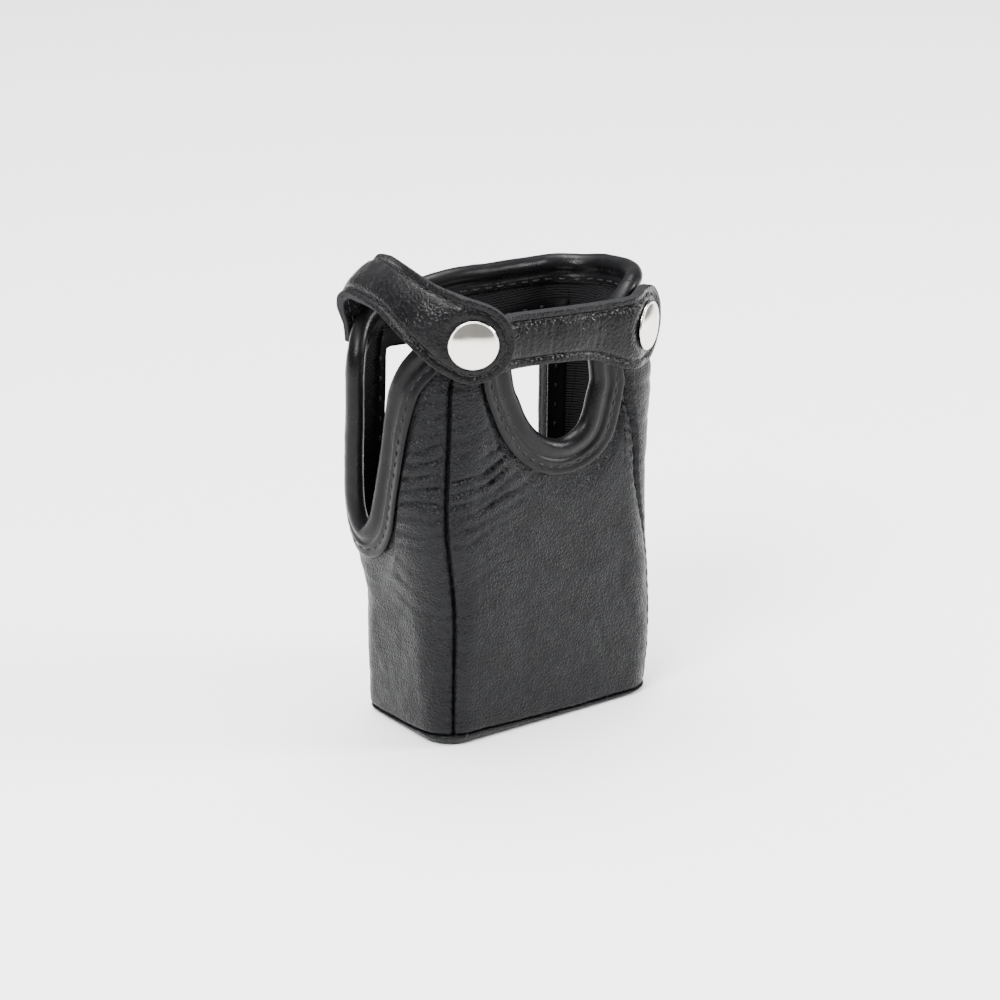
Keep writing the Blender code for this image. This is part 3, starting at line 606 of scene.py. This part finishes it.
def make_wall(panel):
    """Outer leather, foam and lining of one wall."""
    side = PANEL_NAMES[panel]
    place, height, *edges = panel_grid(panel, PANEL_COLUMNS[panel], PANEL_ROWS, 0.04)
    lift = relief(panel, wall(place, height)[0], *edges)
    leather = sheet(f"{side}_leather", wall(place, height, lift)[0],
                    wall(place, height, np.maximum(lift - LEATHER, -LINING_TOP + 0.1))[0],
                    [GRAINED])
    place, height, *edges = panel_grid(panel, 30, 40, 2.6)
    swell = relief(panel, wall(place, height)[0], *edges)
    foam = sheet(f"{side}_padding", wall(place, height, np.maximum(swell - FOAM_TOP, -2.0))[0],
                 wall(place, height, -LINING_TOP + 0.05)[0], [FOAM])
    place, height, *edges = panel_grid(panel, 60, 90, 0.1)
    wave = 0.1 * cloud(wall(place, height)[0], 9.0, 71.0)
    lining = sheet(f"{side}_cloth", wall(place, height, -LINING_TOP + wave)[0],
                   wall(place, height, -LINING_BACK + wave)[0], [CLOTH])
    if side == "back":
        for layer in (leather, foam, lining):
            cut_window(layer)
    settle(leather, [f"{side}_panel"])
    settle(foam, [f"{side}_foam"])
    settle(lining, [f"{side}_lining"])


def make_seam_tapes():
    """Leather strips sewn behind the four upright seams."""
    half_width = 1.9
    across = np.linspace(-half_width, half_width, 7)
    for seam, side in enumerate(("front_left", "front_right", "rear_right", "rear_left")):
        t = np.array([float(SEAM_INDEX[seam])])
        place, height = from_rim(t, -WALL_TOP)
        rise = np.linspace(BASE_RISE + 0.2, float(height[0]), 60)[:, None]
        place = seam + across / panel_length(seam, rise)
        outer = wall(place, rise, -LINING_TOP + 0.45)[0]
        inner = wall(place, rise, -LINING_TOP + 0.12)[0]
        settle(sheet(f"{side}_seam_tape", outer, inner, [SMOOTH]))


def make_facing():
    """Smooth sheet sewn inside round the window, with its row of short stitches."""
    left, right, bottom, top = FACING
    height, f = np.meshgrid(np.linspace(bottom, top, 70), np.linspace(0, 1, 70), indexing="ij")
    first, last = place_of(2, right, height), place_of(2, left, height)
    place = first + (last - first) * f
    x = wall(place, height)[0][..., 0]
    rim_near = np.minimum(np.minimum(x - left, right - x), np.minimum(height - bottom, top - height))
    wave = 0.08 * cloud(wall(place, height)[0], 12.0, 75.0)
    soft = turned_edge(np.maximum(rim_near, 0.0), 0.35)
    facing = sheet("window_facing_leather", wall(place, height, wave - FACING_TOP)[0],
                   wall(place, height, wave - FACING_TOP - FACING_THICKNESS + soft)[0], [SMOOTH])
    cut_window(facing)
    settle(facing, ["window_facing"])

    margin, left_margin = 3.0, 1.6
    left, right, bottom, top = WINDOW
    left, right = left - left_margin, right + margin
    bottom, top = bottom - margin, top + margin
    corners = [(right, bottom), (right, top), (left, top), (left, bottom), (right, bottom)]
    path = []
    for (x0, z0), (x1, z1) in zip(corners, corners[1:]):
        path += [(x0 + (x1 - x0) * i / 40, z0 + (z1 - z0) * i / 40) for i in range(40)]
    x, z = np.array(path).T
    points, normals = wall(place_of(2, x, z), z, -FACING_TOP - FACING_THICKNESS - 0.02)
    settle(stitches("window_stitches", points, -normals, 5.3, 1.5, 0.3))


# ---- binding
def binding_profile():
    """The binding's closed cross-section as (offset from the wall's face, away) pairs."""
    middle, hollow = ROLL_MIDDLE, ROLL_RADIUS - ROLL_SKIN
    edge = OUTER_FLANGE
    outer = [(0.05, -edge + 0.1), (0.30, -edge - 0.12), (0.62, -edge - 0.10), (0.88, -edge + 0.15),
             (0.95, -edge + 0.55), (0.90, -edge + 1.1), (0.74, -edge + 1.7), (0.66, -edge + 2.1),
             (0.74, -edge + 2.5), (0.86, -edge + 3.0), (0.80, -edge + 3.5), (0.50, -edge + 3.95),
             (0.34, -edge + 4.25)]
    turns = np.radians(np.linspace(-38, 218, 25))
    roll = [(middle + ROLL_RADIUS * math.cos(a), ROLL_RADIUS * math.sin(a)) for a in turns]
    inside = [(-3.12, -2.3), (-3.34, -2.7), (-3.42, -3.1), (-3.38, -3.5), (-3.46, -4.0),
              (-3.46, -INNER_FLANGE + 0.2), (-3.3, -INNER_FLANGE), (-3.05, -INNER_FLANGE),
              (-2.92, -INNER_FLANGE + 0.2), (-2.92, -2.4)]
    back = np.radians(np.linspace(215, -35, 11))
    lip = [(middle + hollow * math.cos(a), hollow * math.sin(a)) for a in back]
    return np.array(outer + roll + inside + lip + [(0.10, -2.6), (0.05, -4.5)])


def make_binding():
    """Rolled binding round the whole rim, with a stitched flange on each face of the wall."""
    t = np.concatenate([rim_columns(panel, np.arange(RIM_STEPS[panel]) / RIM_STEPS[panel])
                        for panel in range(4)])
    profile = binding_profile()
    rings = []
    for offset, away in profile:
        place, height = from_rim(t, away)
        rings.append(wall(place, height, offset)[0])
    rings = np.stack(rings, axis=1)
    normal = unit(np.cross(np.roll(rings, -1, axis=1) - np.roll(rings, 1, axis=1),
                           np.roll(rings, -1, axis=0) - np.roll(rings, 1, axis=0)))
    shown = slice(3, 48)
    uneven = 0.07 * cloud(rings, 3.0, 81.0) + 0.10 * cloud(rings, 9.0, 83.0)
    rings[:, shown] += normal[:, shown] * uneven[:, shown, None]
    settle(loop_tube("binding", rings, [SMOOTH]), ["rim_binding"])

    place, height = from_rim(t, -OUTER_FLANGE + 2.1)
    points, normals = wall(place, height, 0.68)
    settle(stitches("binding_stitches", points, normals, 3.1, 1.8, 0.2))
    place, height = from_rim(t, -3.5)
    points, normals = wall(place, height, -3.44)
    settle(stitches("inner_binding_stitches", points, -normals, 3.75, 2.2, 0.24))


# ---- stitches
def stitches(name, points, normals, pitch, length, radius, closed=True):
    """A row of thread stitches along a path, each a short bow that dips in at both ends."""
    if closed:
        points = np.concatenate([points, points[:1]])
        normals = np.concatenate([normals, normals[:1]])
    travelled = np.concatenate([[0.0], np.cumsum(np.linalg.norm(np.diff(points, axis=0), axis=1))])
    count = int(round(travelled[-1] / pitch))
    middles = (np.arange(count) + 0.5) * travelled[-1] / count
    bow = np.array([-1.0, -0.82, -0.45, 0.0, 0.45, 0.82, 1.0])
    height = radius * np.array([-1.1, -0.2, 0.35, 0.5, 0.35, -0.2, -1.1])
    thick = radius * np.array([0.55, 0.9, 1.0, 1.0, 1.0, 0.9, 0.55])
    where = middles[:, None] + bow * length / 2

    def read(values):
        return np.stack([np.interp(where, travelled, values[:, k]) for k in range(3)], axis=-1)

    centre, up = read(points), unit(read(normals))
    along = unit(np.gradient(centre, axis=1))
    side = unit(np.cross(along, up))
    up = np.cross(side, along)
    centre = centre + up * height[None, :, None]
    turns = np.arange(6) * math.pi / 3
    rings = (centre[:, :, None] + thick[None, :, None, None]
             * (side[:, :, None] * np.cos(turns)[:, None] + up[:, :, None] * np.sin(turns)[:, None]))
    faces = []
    sides, steps = len(turns), len(bow)
    for stitch in range(count):
        base = stitch * sides * steps
        for r in range(steps - 1):
            for s in range(sides):
                a, b = base + r * sides + s, base + r * sides + (s + 1) % sides
                faces.append((b, a, a + sides, b + sides))
        faces.append(tuple(base + s for s in range(sides)))
        faces.append(tuple(base + (steps - 1) * sides + s for s in reversed(range(sides))))
    return add_piece(name, rings, faces, [THREAD])


# ---- base
OUTLINE_PLACES = 4.0 * np.arange(OUTLINE_POINTS) / OUTLINE_POINTS


def outline(offset, height):
    """The case's outline, moved outwards by offset, as a ring of points; height may vary."""
    ring = wall(OUTLINE_PLACES, BASE_RISE, offset)[0]
    ring[:, 2] = height
    return ring


def lidded(name, rings, finish):
    """A closed solid from a stack of rings, with a flat face at each end."""
    rings = np.array(rings)
    count, sides = rings.shape[:2]
    faces = [tuple(reversed(range(sides)))]
    for i in range(count - 1):
        for s in range(sides):
            t = (s + 1) % sides
            faces.append((i * sides + s, i * sides + t, (i + 1) * sides + t, (i + 1) * sides + s))
    faces.append(tuple((count - 1) * sides + s for s in range(sides)))
    return add_piece(name, rings, faces, [finish])


def make_base():
    """Leather base, turned up at its edge and in again at the seam, and the lining's floor."""
    turn_up = 3.0
    top = base_seam(OUTLINE_PLACES)
    curl = 70.0
    rings = [outline(-turn_up - 12.0, 0.25), outline(-turn_up - 4.0, 0.12), outline(-turn_up - 1.0, 0.0)]
    for angle in np.radians(np.linspace(0, curl, 8)):
        share = (1 - math.cos(angle)) / (1 - math.cos(math.radians(curl)))
        rings.append(outline(-turn_up * (1 - math.sin(angle)) + 0.1, (top - 0.5) * share))
    for angle in np.radians(np.linspace(20, 90, 6)):
        rings.append(outline(-0.05 - 1.4 * (1 - math.cos(angle)), top - 0.5 + 0.5 * math.sin(angle)))
    for inset, share in ((-2.2, 0.95), (-2.4, 0.8), (-3.6, 0.7)):
        rings.append(outline(inset, top * share))
    settle(lidded("base_leather", rings, GRAINED), ["bottom_panel"])
    inset = -3.7
    rings = [outline(inset - 0.2, 3.0), outline(inset, 3.1), outline(inset, 3.3),
             outline(inset - 0.4, 3.42), outline(inset - 4.0, 3.5), outline(inset - 9.0, 3.55)]
    settle(lidded("base_cloth", rings, CLOTH), ["bottom_lining"])


# ---- straps
def place_snap(snap):
    """Work out where a snap's axis meets the outer leather and which way it points."""
    turn = math.radians(snap["turn"])
    panel, across = snap["place"]
    snap["axis"] = Vector((math.sin(turn), -math.cos(turn), 0.0))
    snap["level"] = Vector((math.cos(turn), math.sin(turn), 0.0))
    snap["centre"] = Vector(wall(place_of(panel, across, snap["height"]), snap["height"])[0])


def smooth_path(stations):
    """Close stations along a smooth curve; each holds centre, width and half width."""
    fine = []
    last = len(stations) - 1
    for index in range(last):
        near = [stations[min(max(index + k, 0), last)] for k in (-1, 0, 1, 2)]
        for step in range(40):
            fine.append([spline(*values, step / 40) for values in zip(*near)])
    fine.append(list(stations[-1]))
    centre = np.array([list(entry[0]) for entry in fine])
    width = np.array([list(entry[1]) for entry in fine])
    half = np.array([entry[2] for entry in fine])
    return centre, width, half


class Strap:
    """A strap's surface: read at a distance along it and a distance across it."""

    def __init__(self, stations):
        self.centre, self.width, self.half = smooth_path(stations)
        steps = np.linalg.norm(np.diff(self.centre, axis=0), axis=1)
        self.travelled = np.concatenate([[0.0], np.cumsum(steps)])
        self.total = self.travelled[-1]
        self.flat = self.total - TAB_RADIUS

    def read(self, values, distance):
        return np.stack([np.interp(distance, self.travelled, values[:, k]) for k in range(3)], axis=-1)

    def frames(self, distance):
        centre = self.read(self.centre, distance)
        reach = 0.9
        along = unit(self.read(self.centre, np.minimum(distance + reach, self.total))
                     - self.read(self.centre, np.maximum(distance - reach, 0.0)))
        width = self.read(self.width, distance)
        width = unit(width - along * (width * along).sum(axis=-1, keepdims=True))
        return centre, width, np.cross(along, width)

    def at(self, distance, across, height):
        centre, width, outward = self.frames(distance)
        return centre + width * across[..., None] + outward * height[..., None], outward

    def grid(self):
        """Distances along and across, and how far each point is from the strap's edge."""
        start = np.array([0.0, 0.05, 0.15, 0.3, 0.5])
        body = np.linspace(0.5, self.flat, int(self.flat / 0.55))
        tip = self.flat + TAB_RADIUS * np.sin(np.radians(np.linspace(0, 88.5, 26)))
        along = np.concatenate([start, body[1:-1], tip])
        past = np.maximum(along - self.flat, 0.0)
        half = np.interp(along, self.travelled, self.half)
        half = np.where(past > 0, np.sqrt(np.maximum(TAB_RADIUS ** 2 - past ** 2, 0.0)), half)
        share = np.sin(np.radians(np.linspace(90, -90, 41)))
        across = half[:, None] * share
        edge = half[:, None] - np.abs(across)
        round_edge = TAB_RADIUS - np.hypot(past[:, None], across)
        edge = np.where(past[:, None] > 0, round_edge, edge)
        edge = np.minimum(edge, along[:, None])
        return along[:, None] + 0 * across, across, np.maximum(edge, 0.0)

    def stitch_line(self, inside, height):
        """A line round the strap's end and along both its sides, from start to start."""
        straight = np.arange(inside, self.flat, 0.8)
        half = np.interp(straight, self.travelled, self.half) - inside
        turns = np.radians(np.linspace(90, -90, 40))[1:-1]
        radius = TAB_RADIUS - inside
        along = np.concatenate([straight, self.flat + radius * np.cos(turns), straight[::-1]])
        across = np.concatenate([half, radius * np.sin(turns), -half[::-1]])
        return self.at(along, across, np.full(along.shape, height))


def strap_relief(points, along, across, edge, snaps):
    """Height of a strap's leather over its flat face: puffed, but pressed flat round the snaps."""
    puff = 0.95
    radial = np.min([np.linalg.norm(np.cross(points - np.array(snap["centre"]),
                                             np.array(snap["axis"])), axis=-1)
                     for snap in snaps], axis=0)
    pressed = smooth(radial, CAP_RADIUS - 0.2, CAP_RADIUS + 2.6)
    height = puff * (1 - np.exp(-np.maximum(edge - STRAP_STITCHES, 0.0) / 2.0)) * pressed
    groove = np.exp(-((edge - STRAP_STITCHES) / 0.5) ** 2)
    height -= 0.5 * groove * smooth(radial, CAP_RADIUS - 1.2, CAP_RADIUS - 0.2)
    height += (0.13 * cloud(points, 3.4, 91.0) + 0.16 * cloud(points, 8.0, 93.0)) * pressed
    creased = folds(points, across, along, 2.3, 95.0)
    patchy = smooth(cloud(points, 12.0, 97.0), -0.3, 0.4)
    height -= 0.26 * creased * pressed * smooth(edge, 2.0, 4.5) * patchy
    return height - turned_edge(edge, 0.4)


def make_strap(name, strap, snaps, nodes, lining_nodes):
    """Both leathers of a strap and its stitches, bent across the strap's joint."""
    along, across, edge = strap.grid()
    top = STRAP_DEPTH / 2
    face, _ = strap.at(along, across, np.full(along.shape, top))
    lift = strap_relief(face, along, across, edge, snaps)
    outer, _ = strap.at(along, across, top + lift)
    under, _ = strap.at(along, across, np.full(along.shape, 0.03))
    lower = 0.08 * cloud(face, 4.0, 99.0) - 0.18 * np.exp(-((edge - STRAP_STITCHES) / 0.42) ** 2)
    lower = top + lower - turned_edge(edge, 0.35)
    inner, _ = strap.at(along, across, -lower)
    upper, _ = strap.at(along, across, np.full(along.shape, -0.03))
    rows, columns = along.shape
    quads, count = sheet_faces(rows, columns)
    raw = (edge[:-1, :-1] + edge[1:, 1:]).ravel() / 2 < 0.16
    border = len(quads) - 2 * count
    outer_marks = np.concatenate([raw, np.zeros(count), np.ones(border)])
    inner_marks = np.concatenate([np.zeros(count), raw, np.ones(border)])
    pieces = [
        sheet(f"{name}_leather", outer, under, [STRAP_LEATHER, CUT_EDGE], face_finish=outer_marks),
        sheet(f"{name}_backing", upper, inner, [GRAINED, CUT_EDGE], face_finish=inner_marks),
    ]
    for kind, height, facing in (("stitches", top - 0.36, 1.0), ("back_stitches", -top + 0.12, -1.0)):
        points, normals = strap.stitch_line(STRAP_STITCHES, height)
        pieces.append(stitches(f"{name}_{kind}", points, normals * facing, 2.9, 2.0, 0.2, closed=False))
    for piece in pieces:
        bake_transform(piece)
    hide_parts(*nodes)
    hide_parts(*lining_nodes)


def tab_stations(snap, distance, dip, sag):
    """The last stations of a strap that ends round its snap, dipping by an angle."""
    angle = math.radians(dip)
    up = Vector((0, 0, 1))
    along = snap["level"] * math.cos(angle) - up * math.sin(angle)
    width = snap["level"] * math.sin(angle) + up * math.cos(angle)
    middle = snap["centre"] + snap["axis"] * (snap["seat"] + distance)
    return [(middle - along * TAB_NECK - snap["axis"] * sag, width, TAB_NECK_HALF_WIDTH),
            (middle, width, TAB_RADIUS), (middle + along * TAB_RADIUS, width, TAB_RADIUS)]


def behind_wall(x, height):
    """The strap's middle where it lies against the back wall."""
    return Vector(wall(place_of(2, x, height), height, SNAP_SEAT + STRAP_DEPTH / 2)[0])


def make_left_strap():
    """The strap from the back wall up, over its fold and down to the left snap."""
    stations = [(behind_wall(-25.5, 98.0), Vector((1.0, 0.0, 0.10)), 7.6),
                (behind_wall(-26.5, 104.0), Vector((1.0, 0.0, 0.20)), 7.8),
                (Vector((-29.2, 23.6, 110.6)), Vector((0.92, 0.15, 0.36)), 7.6),
                (Vector((-32.0, 19.2, 115.4)), Vector((0.88, 0.24, 0.40)), 7.5),
                (CREASE, CREASE_WIDTH, 7.3),
                (Vector((-36.8, -2.5, 119.2)), Vector((0.66, -0.02, 0.75)), 6.7),
                (Vector((-36.4, -14.0, 116.2)), Vector((0.53, -0.12, 0.84)), 7.8)]
    stations += tab_stations(LEFT_SNAP, STRAP_MIDDLE, LEFT_DIP, 0.3)
    across = Vector((0, -1, 0))
    across -= CREASE_WIDTH * across.dot(CREASE_WIDTH)
    across.normalize()
    make_strap("left_strap", Strap(stations), [LEFT_SNAP],
               ["left_strap_outer", "left_strap_pad", "left_strap_rear_outer", "left_strap_rear_pad"],
               ["left_strap_lining", "left_strap_rear_lining"])


def make_front_strap():
    """The strap from under the left snap, across the front cut-out, to the right snap."""
    fixed = LEFT_SNAP["centre"] + LEFT_SNAP["axis"] * (SNAP_SEAT + STRAP_DEPTH / 2)
    up = Vector((0, 0, 1))
    level = LEFT_SNAP["level"]
    middle = fixed + Vector((0, 0, -2.6))
    stations = [(middle - level * 5.5, up, 6.9), (middle, up, 7.0),
                (middle + level * 6.0, up, 7.0),
                (FRONT_BEND, up, 6.9),
                (Vector((0.0, -23.2, 106.2)), up, 6.9),
                (Vector((10.5, -23.2, 105.0)), up, 7.4)]
    stations += tab_stations(RIGHT_SNAP, STRAP_MIDDLE, 0.0, 0.3)
    make_strap("front_strap", Strap(stations), [LEFT_SNAP, RIGHT_SNAP],
               ["front_strap_outer", "front_strap_pad", "front_strap_anchor_outer",
                "front_strap_anchor_pad"],
               ["front_strap_lining", "front_strap_anchor_lining"])


# ---- snaps
def turned(name, profile, snap, sides=72):
    """A solid of revolution about a snap's axis; the profile is (radius, distance)."""
    axis = snap["axis"]
    side = axis.cross(Vector((0, 0, 1))).normalized()
    up = axis.cross(side)
    points, rings = [], []
    for radius, distance in profile:
        count = 1 if radius == 0 else sides
        rings.append(range(len(points), len(points) + count))
        for i in range(count):
            turn = 2 * math.pi * i / count
            direction = side * math.cos(turn) + up * math.sin(turn)
            points.append(snap["centre"] + axis * distance + direction * radius)
    faces = []
    for low, high in zip(rings, rings[1:]):
        for i in range(sides):
            j = (i + 1) % sides
            if len(low) == 1:
                faces.append((low[0], high[j], high[i]))
            elif len(high) == 1:
                faces.append((low[i], low[j], high[0]))
            else:
                faces.append((low[i], low[j], high[j], high[i]))
    return add_piece(name, [list(point) for point in points], faces, [NICKEL], sharp=35.0)


def rounded(radius, distance, size, start, end, steps):
    """Points round a small arc of a profile, from one angle to another."""
    return [(radius + size * math.cos(a), distance + size * math.sin(a))
            for a in np.radians(np.linspace(start, end, steps))]


def make_snap(side, snap, body):
    """A press stud: domed cap and socket on the strap, and stud on the case."""
    seat = snap["seat"]
    cap_from = seat + STRAP_FROM + STRAP_DEPTH + GAP
    cap = [(0, seat + STRAP_FROM), (1.2, seat + STRAP_FROM), (1.2, cap_from - 0.1),
           (CAP_RADIUS - 0.5, cap_from - 0.1)]
    cap += rounded(CAP_RADIUS - 0.42, cap_from + 0.32, 0.42, -90, 60, 8)
    dome_radius, dome_from, dome_rise = CAP_RADIUS - 0.62, cap_from + 0.70, 1.15
    cap += [(CAP_RADIUS - 0.42, cap_from + 0.66), (dome_radius, dome_from)]
    for share in 1 - np.arange(1, 25) / 24:
        cap.append((dome_radius * share, dome_from + dome_rise * (1 - share ** 2.3)))
    settle(turned(f"{side}_cap", cap, snap), [f"{side}_snap_cap"], body)
    socket = [(0, seat + 1.75), (3.3, seat + 1.75), (3.3, seat + 0.8), (3.4, seat + 0.7)]
    socket += [(4.4, seat + 0.7)] + rounded(4.6, seat + 1.1, 0.4, -90, 0, 5)
    socket += [(5.0, seat + 2.05), (0, seat + 2.05)]
    settle(turned(f"{side}_socket", socket, snap), [f"{side}_snap_socket"], body)
    stud = [(0, seat - 0.02), (3.9, seat - 0.02)] + rounded(3.7, seat + 0.2, 0.2, 0, 90, 4)
    stud += [(2.0, seat + 0.42), (1.7, seat + 0.6), (1.7, seat + 0.9)]
    stud += rounded(1.9, seat + 1.25, 0.4, -60, 90, 7) + [(0, seat + 1.68)]
    settle(turned(f"{side}_stud", stud, snap), [f"{side}_snap_stud"])


# ---- stage
def add_light(name, kind, power, heading, place=(0, 0, 0)):
    light = bpy.data.lights.new(name, kind)
    light.energy = power
    made = bpy.data.objects.new(name, light)
    made.location = place
    made.rotation_euler = heading.to_track_quat("-Z", "Y").to_euler()
    bpy.context.scene.collection.objects.link(made)
    return light


def make_floor():
    """Pale floor that runs out of the view."""
    bpy.ops.mesh.primitive_plane_add(size=8.0)
    floor = bpy.context.object
    floor.name = "floor"
    pale = Finish("pale floor", (0.93, 0.93, 0.93), 0.9, specular=0.1)
    pale.feed("Base Color", pale.blend(pale.noise(300.0), (0.92, 0.92, 0.92), (0.94, 0.94, 0.94)))
    floor.data.materials.append(pale.material)


def make_lights():
    """A pale room, a very soft sky and three soft lamps."""
    world = bpy.data.worlds.new("studio")
    world.use_nodes = True
    background = world.node_tree.nodes["Background"]
    background.inputs["Color"].default_value = (1.0, 1.0, 1.0, 1.0)
    background.inputs["Strength"].default_value = 0.42
    bpy.context.scene.world = world

    sky = add_light("sky", "SUN", 4.6, Vector((0.15, -0.2, -1.0)))
    sky.angle = math.radians(80.0)
    middle = Vector((0.0, 0.0, 0.06))
    for name, place, size, power in (("key", (-0.75, -0.35, 0.95), 0.5, 26.0),
                                     ("fill", (0.9, -0.6, 0.6), 0.35, 20.0),
                                     ("top", (0.1, 0.25, 1.2), 0.6, 20.0)):
        add_light(name, "AREA", power, middle - Vector(place), place).size = size


def make_camera():
    """A long lens, from the front left and a little above."""
    target = Vector((-2.88, 0.0, 55.7)) * MM
    azimuth, elevation = math.radians(-35.44), math.radians(21.19)
    away = Vector((math.sin(azimuth) * math.cos(elevation), -math.cos(azimuth) * math.cos(elevation),
                   math.sin(elevation)))
    lens = bpy.data.cameras.new("camera")
    lens.sensor_width = 36.0
    lens.lens = 122.3
    lens.clip_start = 0.01
    camera = bpy.data.objects.new("camera", lens)
    distance = 0.871
    camera.location = target + away * distance
    camera.rotation_euler = (-away).to_track_quat("-Z", "Y").to_euler()
    bpy.context.scene.collection.objects.link(camera)
    bpy.context.scene.camera = camera


make_floor()
make_lights()
make_camera()
for number in range(len(PANEL_NAMES)):
    make_wall(number)
make_seam_tapes()
make_facing()
make_binding()
make_base()
place_snap(LEFT_SNAP)
place_snap(RIGHT_SNAP)
make_left_strap()
make_front_strap()
make_snap("left", LEFT_SNAP, "left_strap")
make_snap("right", RIGHT_SNAP, "front_strap")

for node, finish in (("rim_cord", FOAM), ("base_board", BOARD),
                     ("left_snap_post", NICKEL), ("right_snap_post", NICKEL)):
    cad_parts[node].data.materials.clear()
    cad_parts[node].data.materials.append(finish)
